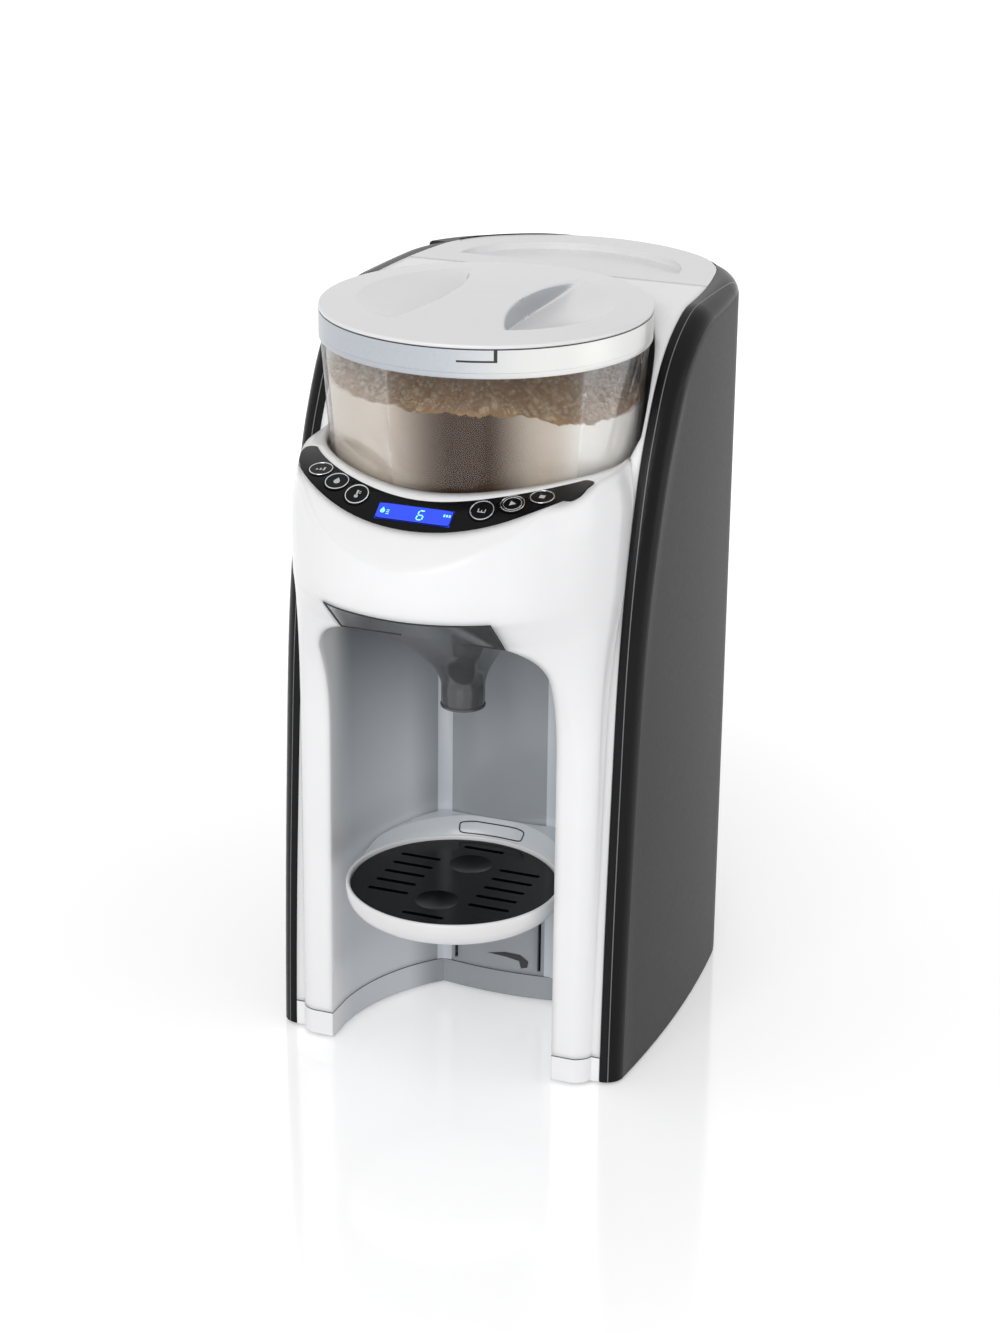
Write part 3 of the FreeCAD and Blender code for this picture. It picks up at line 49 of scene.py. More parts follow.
bl_info = {
    "name": "Baby formula maker",
    "version": (1, 0, 0),
    "blender": (4, 5, 0),
    "location": "3D View > Sidebar > Formula maker",
    "description": "Builds the finish of a countertop baby formula maker",
    "category": "Object",
}


# ---------------------------------------------------------------- sizes and colours
class BodyColours(bpy.types.PropertyGroup):
    """Colours of the casing and of what shows through it, as sRGB hex."""
    white: bpy.props.StringProperty(name="White casing", description="Glossy ABS", default="#ECEBEC")
    charcoal: bpy.props.StringProperty(name="Side panels", description="Moulded ABS", default="#3B3B3B")
    # painted dark reflection: the near-black that the panels' rolled front edge and up-facing parts are
    # coloured
    edge: bpy.props.StringProperty(name="Rolled edge", description="Gloss band round them", default="#141415")
    silver: bpy.props.StringProperty(name="Collar", description="Silver plastic", default="#B1B6BC")
    smoke: bpy.props.StringProperty(name="Funnel", description="Smoky polycarbonate", default="#4B4C4E")
    powder: bpy.props.StringProperty(name="Powder", description="Packed milk powder", default="#D8CCBE")
    # painted shade: the brown that the powder on top is coloured for the shade inside the container
    crumbs: bpy.props.StringProperty(name="Crumbs", description="Loose milk powder", default="#C29E74")
    display: bpy.props.StringProperty(name="Display", description="Lit blue glass", default="#1A45F5")


class FinishSizes(bpy.types.PropertyGroup):
    """Real sizes of the finest shapes and grains."""
    grit: bpy.props.FloatProperty(
        name="Moulding grain", description="Width of the grain of satin plastic",
        default=0.0012, unit="LENGTH")
    clump: bpy.props.FloatProperty(
        name="Powder clump", description="Width of one clump of powder", default=0.0035, unit="LENGTH")


def colours():
    """The colours that the user may change."""
    return bpy.context.scene.maker_colours


def sizes():
    """The sizes that the user may change."""
    return bpy.context.scene.maker_sizes


def linear(code, alpha=1.0):
    """sRGB hex to the linear colour that a shader takes."""
    channels = [int(code[i:i + 2], 16) / 255 for i in (1, 3, 5)]
    return (*[c / 12.92 if c <= 0.04045 else ((c + 0.055) / 1.055) ** 2.4 for c in channels], alpha)


# ---------------------------------------------------------------- materials
ABS_IOR = 1.53


def add(tree, kind, inputs=(), **settings):
    """Add a shader node; `inputs` gives its sockets, by name or in order, values or other sockets."""
    item = tree.nodes.new("ShaderNode" + kind)
    for key, value in settings.items():
        setattr(item, key, value)
    for key, value in inputs.items() if isinstance(inputs, dict) else enumerate(inputs):
        if isinstance(value, bpy.types.NodeSocket):
            tree.links.new(value, item.inputs[key])
        else:
            item.inputs[key].default_value = value
    return item


def material(name, **sockets):
    """A material with one Principled shader; returns it, its tree and shader."""
    made = bpy.data.materials.new(name)
    made.use_nodes = True
    tree = made.node_tree
    shader = tree.nodes["Principled BSDF"]
    for key, value in sockets.items():
        shader.inputs[key.replace("_", " ")].default_value = value
    return made, tree, shader


def toned(colour, factor, lift=0.0):
    """A linear colour made darker or lighter."""
    return (*[min(1.0, c * factor + lift) for c in colour[:3]], 1.0)


def grain(tree, size, detail=2.0, roughness=0.5, stretch=None):
    """Noise of one real size, in metres, in the object's own space."""
    place = add(tree, "TexCoord").outputs["Object"]
    if stretch:
        place = add(tree, "Mapping", {"Vector": place, "Scale": stretch}).outputs["Vector"]
    return add(tree, "TexNoise", {"Vector": place, "Scale": 0.5 / size, "Detail": detail,
                                  "Roughness": roughness}).outputs["Fac"]


def zone(tree, *spans):
    """Product of smooth steps; each is a value, the two ends of its span and the levels there."""
    steps = [add(tree, "MapRange", span, interpolation_type="SMOOTHSTEP").outputs[0] for span in spans]
    while len(steps) > 1:
        steps.append(add(tree, "Math", (steps.pop(0), steps.pop(0)), operation="MULTIPLY").outputs[0])
    return steps[0]


def layered(tree, ground, *layers):
    """Colours laid over a ground one after another; each layer is its share and its colour."""
    for share, colour in layers:
        ground = add(tree, "Mix", {0: share, 6: ground, 7: colour}, data_type="RGBA").outputs[2]
    return ground


def finish(tree, shader, colour, roughness=None, relief=None):
    """Feed a shader its colour, a roughness between two ends, and a relief of a real depth in metres."""
    tree.links.new(colour, shader.inputs["Base Color"])
    if roughness:
        factor, low, high = roughness
        level = add(tree, "MapRange", (factor, 0.0, 1.0, low, high))
        tree.links.new(level.outputs[0], shader.inputs["Roughness"])
    if relief:
        made = add(tree, "Bump", {"Height": relief[0], "Distance": relief[1], "Strength": 1.0})
        tree.links.new(made.outputs["Normal"], shader.inputs["Normal"])


def glossy_abs(name, code, gloss=0.5):
    """Injection-moulded ABS from a polished tool: high gloss with a faint waviness."""
    made, tree, shader = material(name, IOR=ABS_IOR, Specular_IOR_Level=gloss)
    wave = grain(tree, 0.010, 1.0)
    base = linear(code)
    colour = layered(tree, base, (wave, toned(base, 0.97)))
    finish(tree, shader, colour, (grain(tree, 0.004), 0.16, 0.24), (wave, 0.00002))
    return made


def satin_abs(name, code):
    """Moulded ABS from a lightly etched tool: fine grain that breaks up the gloss."""
    made, tree, shader = material(name, IOR=ABS_IOR)
    fine = grain(tree, sizes().grit, 3.0)
    base = linear(code)
    colour = layered(tree, base, (grain(tree, 0.02), toned(base, 0.88)))
    finish(tree, shader, colour, (fine, 0.36, 0.46), (fine, 0.00003))
    return made


def side_panel_abs(name, code, edge):
    """Charcoal side panel: etched on its face, polished where it rolls to the front; there and where it faces
    up it is painted nearly black as dark reflection, with a painted highlight line along the roll.
    """
    made, tree, shader = material(name, IOR=ABS_IOR, Specular_IOR_Level=0.11)
    fine = grain(tree, sizes().grit, 3.0)
    base = linear(code)
    spot = add(tree, "TexCoord").outputs
    place = add(tree, "SeparateXYZ", (spot["Object"],)).outputs
    facing = add(tree, "SeparateXYZ", (spot["Normal"],)).outputs
    rise = add(tree, "MapRange", (place["Z"], 0.091, 0.330)).outputs[0]
    bend = add(tree, "Math", (rise, 2.6), operation="POWER").outputs[0]
    lean = add(tree, "Math", (bend, 0.049, -0.074), operation="MULTIPLY_ADD").outputs[0]
    behind = add(tree, "Math", (place["Y"], lean), operation="SUBTRACT").outputs[0]
    rolled = zone(tree, (behind, 0.005, 0.019, 1.0, 0.0))
    # parts that face up are polished and painted near-black as dark reflection too
    over = zone(tree, (facing["Z"], 0.10, 0.35, 0.0, 1.0))
    polished = add(tree, "Math", (rolled, over), operation="MAXIMUM").outputs[0]
    wide = add(tree, "Math", (place["X"],), operation="ABSOLUTE").outputs[0]
    # painted highlight: a thin pale line along the rolled edge, where the panel is 84 mm from the middle
    painted_highlight_line = add(tree, "Math", (wide, 0.0840, 0.00022), operation="COMPARE").outputs[0]
    thin_line = add(tree, "Math", (painted_highlight_line, polished), operation="MULTIPLY").outputs[0]
    # painted dark reflection: the polished parts take the near-black edge colour
    colour = layered(tree, base, (grain(tree, 0.05), toned(base, 1.1)), (polished, linear(edge)),
                     (thin_line, linear("#77787A")))
    etched = add(tree, "MapRange", (fine, 0.0, 1.0, 0.44, 0.54)).outputs[0]
    finish(tree, shader, colour, (polished, etched, 0.26), (fine, 0.00003))
    return made


def lid_abs(name, code):
    """Glossy white lid; the steep walls of its scoops are painted a darker, cooler grey as shade."""
    made, tree, shader = material(name, IOR=ABS_IOR)
    wave = grain(tree, 0.010, 1.0)
    base = linear(code)
    spot = add(tree, "TexCoord").outputs
    facing = add(tree, "SeparateXYZ", (spot["Normal"],)).outputs
    height = add(tree, "SeparateXYZ", (spot["Object"],)).outputs["Z"]
    aside = add(tree, "Math", (facing["X"],), operation="ABSOLUTE").outputs[0]
    # distance from the container's upright axis
    shifted = add(tree, "VectorMath", (spot["Object"], (0.0, 0.0313, 0.0))).outputs["Vector"]
    plan = add(tree, "VectorMath", (shifted, (1.0, 1.0, 0.0)), operation="MULTIPLY").outputs["Vector"]
    reach = add(tree, "VectorMath", (plan,), operation="LENGTH").outputs["Value"]
    # painted shade: the steep walls of the scoops are coloured a darker, cooler grey
    grip = zone(tree, (facing["Z"], 0.45, 0.80, 0.75, 0.0), (height, 0.3600, 0.3616, 0.0, 1.0),
                (aside, 0.35, 0.6, 0.0, 1.0), (reach, 0.066, 0.070, 1.0, 0.0))
    colour = layered(tree, base, (wave, toned(base, 0.97)), (grip, linear("#8C9299")))
    finish(tree, shader, colour, (grain(tree, 0.004), 0.18, 0.26), (wave, 0.00002))
    return made


def housing_abs(name, code, rounding=0.006):
    """Glossy white housing; the bottle bay inside it is painted a cooler grey as shade, darker towards its
    roof and its rear.
    """
    made, tree, shader = material(name, IOR=ABS_IOR)
    wave = grain(tree, 0.010, 1.0)
    base = linear(code)
    place = add(tree, "SeparateXYZ", (add(tree, "TexCoord").outputs["Object"],)).outputs
    wide = add(tree, "Math", (place["X"],), operation="ABSOLUTE").outputs[0]
    bay = zone(tree, (wide, 0.0575, 0.0592, 1.0, 0.0), (place["Y"], -0.084, -0.058, 0.0, 1.0),
               (place["Z"], 0.2296, 0.2304, 1.0, 0.0))
    # painted shade: the bay darkens towards its roof and towards its rear wall
    roof_shade = zone(tree, (place["Z"], 0.10, 0.235, 0.0, 1.0))
    rear = zone(tree, (place["Y"], -0.024, -0.008, 0.0, 0.8))
    # a real dark seam line where the housing meets the base
    thin_line = add(tree, "Math", (place["Z"], BASE_TOP, 0.00028), operation="COMPARE").outputs[0]
    bay_shade = layered(tree, linear("#DDE1E5"), (roof_shade, linear("#858B91")), (rear, linear("#8E949A")))
    colour = layered(tree, base, (wave, toned(base, 0.97)), (bay, bay_shade), (thin_line, linear("#55585B")))
    finish(tree, shader, colour, (grain(tree, 0.004), 0.16, 0.24), (wave, 0.00002))
    soft = add(tree, "Bevel", {"Radius": rounding}, samples=8)
    tree.links.new(soft.outputs["Normal"], shader.inputs["Normal"].links[0].from_node.inputs["Normal"])
    return made


def smoky_polycarbonate(name, code, alpha=0.985):
    """Tinted polycarbonate: dark and nearly opaque, with a painted paler sheen where it turns away from view.
    """
    made, tree, shader = material(name, IOR=1.58, Roughness=0.12, Alpha=alpha, Specular_IOR_Level=0.4)
    base = linear(code)
    # painted sheen: the colour grows paler where the surface turns away from view
    rim = add(tree, "LayerWeight", {"Blend": 0.3}).outputs["Facing"]
    finish(tree, shader, layered(tree, base, (rim, toned(base, 1.35))), (grain(tree, 0.003), 0.10, 0.16))
    return made


def clear_polycarbonate(name, code="#F4F6F8", alpha=0.42):
    """Clear moulded polycarbonate: strong edge reflection, faint haze from washing."""
    made, tree, shader = material(name, IOR=1.45, Transmission_Weight=1.0, Alpha=alpha,
                                  Base_Color=linear(code))
    haze = add(tree, "MapRange", (grain(tree, 0.012), 0.0, 1.0, 0.02, 0.05))
    tree.links.new(haze.outputs[0], shader.inputs["Roughness"])
    return made


def silver_plastic(name, code):
    """ABS sprayed with silver lacquer: fine flakes under a soft sheen."""
    made, tree, shader = material(name, IOR=1.5, Metallic=0.35)
    flakes = grain(tree, 0.0008, 4.0)
    base = linear(code)
    across = add(tree, "SeparateXYZ", (add(tree, "TexCoord").outputs["Object"],)).outputs["X"]
    # painted reflection: the collar is coloured paler towards its right side
    paler = zone(tree, (across, 0.005, 0.055, 0.0, 1.0))
    colour = layered(tree, base, (flakes, toned(base, 1.15)), (paler, linear("#E8E8E5")))
    finish(tree, shader, colour, (flakes, 0.28, 0.38))
    return made


def chromed(name, code="#D8DADE"):
    """Bright chrome plate on plastic."""
    made, tree, shader = material(name, Metallic=1.0, Base_Color=linear(code))
    polish = add(tree, "MapRange", (grain(tree, 0.002), 0.0, 1.0, 0.12, 0.22))
    tree.links.new(polish.outputs[0], shader.inputs["Roughness"])
    return made


def plated_steel(name, code="#9A9DA1"):
    """Zinc-plated pressed steel: brushed along its length, dull."""
    made, tree, shader = material(name, Metallic=1.0)
    lines = grain(tree, 0.0015, 3.0, stretch=(1.0, 1.0, 0.06))
    base = linear(code)
    colour = layered(tree, base, (lines, toned(base, 0.8)))
    finish(tree, shader, colour, (lines, 0.25, 0.42), (lines, 0.00002))
    return made


def silicone(name, code):
    """Moulded silicone rubber: matt, slightly dusty."""
    made, tree, shader = material(name, IOR=1.41)
    dust = grain(tree, 0.002, 3.0)
    base = linear(code)
    colour = layered(tree, base, (dust, toned(base, 1.2, 0.01)))
    finish(tree, shader, colour, (dust, 0.5, 0.7), (dust, 0.00004))
    return made


def circuit_board(name):
    """Fibreglass board with solder mask: traces show as paler lines."""
    made, tree, shader = material(name, IOR=1.5, Roughness=0.3)
    place = add(tree, "TexCoord").outputs["Object"]
    cells = add(tree, "TexVoronoi", {"Vector": place, "Scale": 350.0}, distance="CHEBYCHEV",
                feature="DISTANCE_TO_EDGE").outputs["Distance"]
    line = add(tree, "Math", (cells, 0.06), operation="LESS_THAN").outputs[0]
    finish(tree, shader, layered(tree, linear("#0F4A2C"), (line, linear("#3E8A4E"))))
    return made


def lit_display(name, code):
    """Back-lit blue glass, a little uneven."""
    base = linear(code)
    made, tree, shader = material(name, IOR=1.5, Roughness=0.08, Emission_Strength=1.0,
                                  Base_Color=toned(base, 0.25))
    glow = layered(tree, base, (grain(tree, 0.006, 1.0), toned(base, 0.82)))
    tree.links.new(glow, shader.inputs["Emission Color"])
    return made


def lit_mark(name, code):
    """Segments of the display that glow paler than their ground."""
    tint = linear(code)
    return material(name, Roughness=0.3, Base_Color=tint, Emission_Color=tint, Emission_Strength=0.9)[0]


def printed(name, code):
    """Pad-printed ink on plastic."""
    made, tree, shader = material(name, IOR=1.5, Roughness=0.45)
    base = linear(code)
    finish(tree, shader, layered(tree, base, (grain(tree, 0.0008, 2.0), toned(base, 0.85))))
    return made


def milk_powder(name, code, clumped=False):
    """Dry milk powder: smooth and pale against the wall; clumped, it is painted far darker between its lumps
    as shade; unclumped, it has a painted reflection at the right and a darker brown band across the middle.
    """
    made, tree, shader = material(name, Roughness=0.9, Specular_IOR_Level=0.15)
    lumps = grain(tree, sizes().clump * (0.35 if clumped else 2.4), 6.0, 0.62)
    base = linear(code)
    # painted shade: clumped powder is coloured far darker between its lumps; unclumped it only varies a
    # little in tone
    shares = (0.40, 0.31, 0.22) if clumped else (0.86, 0.82, 0.76)
    deep = (*[c * share for c, share in zip(base[:3], shares)], 1.0)
    colour = layered(tree, deep, (lumps, base))
    if not clumped:
        across = add(tree, "SeparateXYZ", (add(tree, "TexCoord").outputs["Object"],)).outputs["X"]
        # painted reflection: the powder is coloured near-white at its right side
        bright = zone(tree, (across, 0.050, 0.062, 0.0, 1.0))
        # darker brown band across the middle of the powder's front
        dark_middle_band = zone(tree, (across, -0.030, 0.012, 0.0, 1.0), (across, 0.026, 0.052, 1.0, 0.0))
        colour = layered(tree, colour, (bright, linear("#F3EEE7")), (dark_middle_band, linear("#3F2D1E")))
    finish(tree, shader, colour, relief=(lumps, 0.0009 if clumped else 0.0002))
    return made


MATERIALS = {}
BASE_TOP = 0.0144  # height of the seam over the base, in metres


def build_materials():
    """Make every finish once, under a short key."""
    c = colours()
    MATERIALS.update({
        "white": glossy_abs("glossy_white_abs", c.white),
        "housing": housing_abs("housing_abs", "#F9F9FA"),
        "base": housing_abs("base_abs", "#F9F9FA", 0.001),
        "lid": lid_abs("lid_abs", c.white),
        # painted shade: the sloped apron behind the tray is coloured light grey
        "pale": glossy_abs("apron_shade_abs", "#D4D9DE"),
        # painted shade: the coves take the cool grey of the bay's painted shade
        "cove": glossy_abs("bay_corner_abs", "#D3D9DF"),
        "charcoal": side_panel_abs("side_panel_abs", c.charcoal, c.edge),
        "shadow": satin_abs("shadow_gap", "#1B1C1E"),
        "black": glossy_abs("glossy_black_abs", "#060607", 0.12),
        "grey": satin_abs("moulded_grey_abs", "#8A8D92"),
        "acetal": satin_abs("natural_acetal", "#E6E3D8"),
        "steel": plated_steel("plated_steel"),
        "chrome": chromed("chrome_plate"),
        "silver": silver_plastic("silver_lacquer", c.silver),
        "smoke": smoky_polycarbonate("smoky_polycarbonate", c.smoke),
        "clear": clear_polycarbonate("clear_polycarbonate"),
        "tank": clear_polycarbonate("clear_grey_tank", "#D5DDE6"),
        "board": circuit_board("circuit_board"),
        "display": lit_display("lit_blue_display", c.display),
        "segments": lit_mark("lit_segments", "#7FD8FF"),
        "ink": printed("printed_ink", "#C9CBCD"),
        "powder": milk_powder("milk_powder", c.powder),
        # painted shade: the brown powder on top; the pale crumbs below are its lit copy
        "powder_top": milk_powder("powder_clumps", c.crumbs, clumped=True),
        "crumb": milk_powder("pale_crumbs", "#E6D2B2", clumped=True),
        "seal": silicone("grey_silicone", "#A9A9A9"),
        "hose": silicone("milky_silicone_hose", "#D8D8D2"),
        "rubber": silicone("dark_rubber", "#242424"),
    })


SLOT_MATERIAL = {
    "white_gloss": "white", "dark_plastic": "charcoal", "grey_plastic": "grey", "gear_plastic": "acetal",
    "steel": "steel", "black_gloss": "black", "lcd": "display", "circuit_board": "board",
    "clear_plastic": "clear", "silver_plastic": "silver", "powder": "powder", "smoky_plastic": "smoke",
    "tank_plastic": "tank", "seal_rubber": "seal", "hose_rubber": "hose", "foot_rubber": "rubber",
}
NODE_MATERIAL = {"front_housing": "housing", "base_plate": "base"}


def dress_nodes():
    """Give every CAD node the material of its slot, and smooth shading."""
    for entry in frame["record"]["subparts"]:
        item = NODES[entry["node"]]
        item.data.materials.clear()
        key = NODE_MATERIAL.get(entry["node"], SLOT_MATERIAL[entry["material_slot"]])
        item.data.materials.append(MATERIALS[key])
        item.data.shade_smooth()
        item.data.set_sharp_from_angle(angle=SHARP_ANGLE)


# ---------------------------------------------------------------- building pieces
def piece(name, points, faces, key, body, slot, sharp=35):
    """A shown piece from points in millimetres, riding on a body."""
    mesh = bpy.data.meshes.new(name)
    mesh.from_pydata([tuple(c * MM for c in p) for p in points], [], faces)
    mesh.materials.append(MATERIALS[key])
    mesh.shade_smooth()
    mesh.set_sharp_from_angle(angle=math.radians(sharp))
    item = bpy.data.objects.new(name, mesh)
    bpy.context.scene.collection.objects.link(item)
    tidy = bmesh.new()
    tidy.from_mesh(mesh)
    bmesh.ops.recalc_face_normals(tidy, faces=tidy.faces)
    tidy.to_mesh(mesh)
    tidy.free()
    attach(item, body)
    return item


def skin(rows, closed=True, caps=False):
    """Points and faces of a surface through equally long rows of points."""
    count = len(rows[0])
    points = [p for row in rows for p in row]
    faces = []
    for r in range(len(rows) - 1):
        for i in range(count if closed else count - 1):
            j = (i + 1) % count
            faces.append((r * count + i, r * count + j, (r + 1) * count + j, (r + 1) * count + i))
    if caps:
        faces += [tuple(range(count)), tuple((len(rows) - 1) * count + i for i in range(count))]
    return points, faces


def circle(radius, height, centre=(0.0, 0.0), steps=96):
    """A level circle of points."""
    turn = 2 * math.pi / steps
    return [(centre[0] + radius * math.cos(turn * i), centre[1] + radius * math.sin(turn * i), height)
            for i in range(steps)]


def ring(profile, centre=(0.0, 0.0), steps=96):
    """A ring whose cross-section is the loop of (radius, height) pairs."""
    return skin([circle(radius, height, centre, steps) for radius, height in profile + profile[:1]])


def edge_beads(node, radius, wanted, sides=6):
    """Thin rods along a node's sharp edges, where `wanted` accepts an edge."""
    turns = [2 * math.pi * k / sides for k in range(sides)]
    shape = bmesh.new()
    shape.from_mesh(NODES[node].data)
    bmesh.ops.remove_doubles(shape, verts=shape.verts, dist=0.00001)
    shapes = []
    for edge in shape.edges:
        middle = (edge.verts[0].co + edge.verts[1].co) / 2
        sharp = len(edge.link_faces) == 2 and edge.calc_face_angle(0) >= SHARP_ANGLE
        if not (sharp and wanted(middle, edge)):
            continue
        ahead = (edge.verts[1].co - edge.verts[0].co).normalized()
        side = ahead.orthogonal().normalized()
        up = ahead.cross(side)
        rows = [[tuple((end.co * 1000) + (side * math.cos(a) + up * math.sin(a)) * radius) for a in turns]
                for end in edge.verts]
        shapes.append(skin(rows, caps=True))
    shape.free()
    return joined(shapes)


def rounded(steps, corner):
    """Outline of a square of half-width 1 whose corners are tighter for a higher `corner`."""
    spots = []
    for i in range(steps):
        cos, sin = math.cos(2 * math.pi * i / steps), math.sin(2 * math.pi * i / steps)
        stretch = (abs(cos) ** corner + abs(sin) ** corner) ** (-1 / corner)
        spots.append((cos * stretch, sin * stretch))
    return spots


def ease(value):
    """Smooth step from 0 to 1."""
    value = min(1.0, max(0.0, value))
    return value * value * (3 - 2 * value)


def in_frame(place, points):
    """Points drawn flat (x, y, height) moved to a frame of centre and axes."""
    centre, across, along, up = place
    return [tuple(centre[k] + x * across[k] + y * along[k] + z * up[k] for k in range(3))
            for x, y, z in points]


def top_frame(node, x=None, y=None):
    """Centre and axes of a node's flat top, in millimetres."""
    up_faces = [f for f in NODES[node].data.polygons if f.normal.z > 0.5]
    best = max(up_faces, key=lambda f: f.area)
    same = [f for f in up_faces if f.normal.dot(best.normal) > 0.9995]
    highest = max(f.center.dot(best.normal) for f in same)
    same = [f for f in same if f.center.dot(best.normal) > highest - 0.0001]
    area_sum = sum(f.area for f in same)
    centre = sum((f.center * f.area for f in same), Vector()) / area_sum
    up = best.normal.normalized()
    centre = centre * 1000
    if x is not None:
        centre = Vector((x, y, centre.z - (up.x * (x - centre.x) + up.y * (y - centre.y)) / up.z))
    along = Vector((0, up.z, -up.y)).normalized()
    return centre, along.cross(up), along, up


def slab(low, high):
    """A closed plate between two like outlines."""
    count = len(low)
    faces = [tuple(range(count)), tuple(range(count, 2 * count))]
    faces += [(i, (i + 1) % count, count + (i + 1) % count, count + i) for i in range(count)]
    return low + high, faces


def flat(place, outline, height=0.06, lift=0.0):
    """A flat plate of any outline, standing on a frame."""
    low = in_frame(place, [(x, y, lift) for x, y in outline])
    high = in_frame(place, [(x, y, lift + height) for x, y in outline])
    return slab(low, high)


def joined(shapes):
    """Several (points, faces) in one."""
    points, faces = [], []
    for more, their_faces in shapes:
        start = len(points)
        points += more
        faces += [tuple(i + start for i in face) for face in their_faces]
    return points, faces


def tube_along(path, radius, closed=True, sides=8):
    """A thin round bead along a path of points."""
    turns = [2 * math.pi * k / sides for k in range(sides)]
    rows = []
    count = len(path)
    for i, point in enumerate(path):
        here = Vector(point)
        before = Vector(path[(i - 1) % count] if closed or i else path[i])
        after = Vector(path[(i + 1) % count] if closed or i < count - 1 else path[i])
        ahead = (after - before).normalized()
        side = ahead.cross(Vector((0.13, 0.21, 1.0))).normalized()
        up = side.cross(ahead)
        rows.append([tuple(here + (side * math.cos(a) + up * math.sin(a)) * radius) for a in turns])
    if closed:
        rows.append(rows[0])
    return skin(rows, caps=not closed)


# ---------------------------------------------------------------- powder container
AXIS = (0.0, -31.3)  # plan place of the container's upright axis
COLLAR_RADIUS = 77.5
CUP_FOOT, CUP_RIM = 273.0, 355.5
POWDER_HEIGHT = 334.5


def cup_radius(height):
    """Inside of the clear cup at a height: it widens from its foot to its rim."""
    return 68.5 + 6.4 * (height - CUP_FOOT) / (CUP_RIM - CUP_FOOT)


def powder_level(x, y):
    """Height of the powder: a mound at the back left, low at the right."""
    mound = 13 * math.exp(-((x + 22) ** 2 + (y - 18) ** 2) / (2 * 38 ** 2))
    dip = 9 * ease((x - 34) / 34)
    lumps = noise.noise(Vector((x / 7, y / 7, 0.4))) * 1.9
    lumps += noise.noise(Vector((x / 2.6, y / 2.6, 7.1))) * 1.1
    crumbs = noise.noise(Vector((x / 1.4, y / 1.4, 3.3))) * 0.9
    return POWDER_HEIGHT + mound - dip + lumps + crumbs


def make_powder():
    """Rough top of the powder, and its body down to the portion wheel."""
    steps, rings, low = 300, 110, 297.0
    turn = 2 * math.pi / steps
    rows = []
    for r in range(rings + 1):
        share = r / rings
        row = []
        for i in range(steps):
            cos, sin = math.cos(turn * i), math.sin(turn * i)
            rough = powder_level(cos * 70, sin * 70)
            reach = (cup_radius(rough) - 0.5) * max(share, 0.002)
            x, y = reach * cos, reach * sin
            row.append((AXIS[0] + x, AXIS[1] + y, powder_level(x, y)))
        rows.append(row)
    piece("powder_top", *skin(rows), "powder_top", "container", "powder", sharp=60)
    edge = rows[-1]
    side = []
    for k in range(13):
        share = k / 12
        row = []
        for i, (x, y, z) in enumerate(edge):
            height = z + (low - z) * share
            reach = cup_radius(height) - 0.5
            row.append((AXIS[0] + reach * math.cos(turn * i), AXIS[1] + reach * math.sin(turn * i), height))
        side.append(row)
    points, faces = skin(side)
    faces.append(tuple(range(12 * steps, 13 * steps)))
    body = piece("powder_body", points, faces, "powder", "container", "powder")
    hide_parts("powder_fill")


GOLD = (1 + math.sqrt(5)) / 2
SIGNS = [(x, y * GOLD) for x in (-1, 1) for y in (-1, 1)]
CRUMB = [(x, y, 0) for x, y in SIGNS] + [(0, x, y) for x, y in SIGNS] + [(y, 0, x) for x, y in SIGNS]


def crumb_faces():
    """Faces of the 20-sided crumb: every three corners one edge apart."""
    near = lambda i, j: sum((a - b) ** 2 for a, b in zip(CRUMB[i], CRUMB[j])) < 4.1
    return [(i, j, k) for i in range(12) for j in range(i + 1, 12) for k in range(j + 1, 12)
            if near(i, j) and near(j, k) and near(i, k)]


def make_crumbs():
    """Loose crumbs and clumps on the powder, thicker towards the wall in front."""
    dice = random.Random(11)
    faces = crumb_faces()
    shapes = {"powder_top": [], "crumb": []}
    while len(shapes["crumb"]) < 1700:
        angle, share = dice.uniform(0, 2 * math.pi), math.sqrt(dice.random())
        if share < 0.75 and dice.random() < 0.55:
            continue
        reach = 70.5 * share
        x, y = reach * math.cos(angle), reach * math.sin(angle)
        size = 0.5 * dice.uniform(0.5, 1.0) * (1 + 1.3 * dice.random() ** 4)
        stretch = [size * dice.uniform(0.7, 1.3) for _ in range(3)]
        turn = dice.uniform(0, math.pi)
        cos, sin = math.cos(turn), math.sin(turn)
        middle = (AXIS[0] + x, AXIS[1] + y, powder_level(x, y) + size * 0.6)
        points = []
        for px, py, pz in CRUMB:
            px, py, pz = px * stretch[0], py * stretch[1], pz * stretch[2]
            points.append((middle[0] + px * cos - py * sin, middle[1] + px * sin + py * cos, middle[2] + pz))
        # crumbs are split at random between the brown copy, painted as shade, and the pale lit copy
        shapes[dice.choice(("powder_top", "crumb"))].append((points, faces))
    piece("powder_clumps", *joined(shapes["powder_top"]), "powder_top", "container", "powder", sharp=70)
    piece("powder_crumbs", *joined(shapes["crumb"]), "crumb", "container", "powder", sharp=70)


def scoop_depth(x, y, half=50):
    """Finger scoops in the lid: a steep wall at the grip bar, a floor that runs out."""
    if abs(y) >= half:
        return 0.0
    share = y / half
    inner, outer = 17 + 10 * share ** 2, 6.4 + math.sqrt(54.1 ** 2 - y * y)
    across = abs(x)
    if not inner < across < outer:
        return 0.0
    wall = ease((across - inner) / 3.2)
    run = (outer - across) / (outer - inner)
    return 9.5 * wall * run ** 0.85 * (1 - share ** 2) ** 0.75


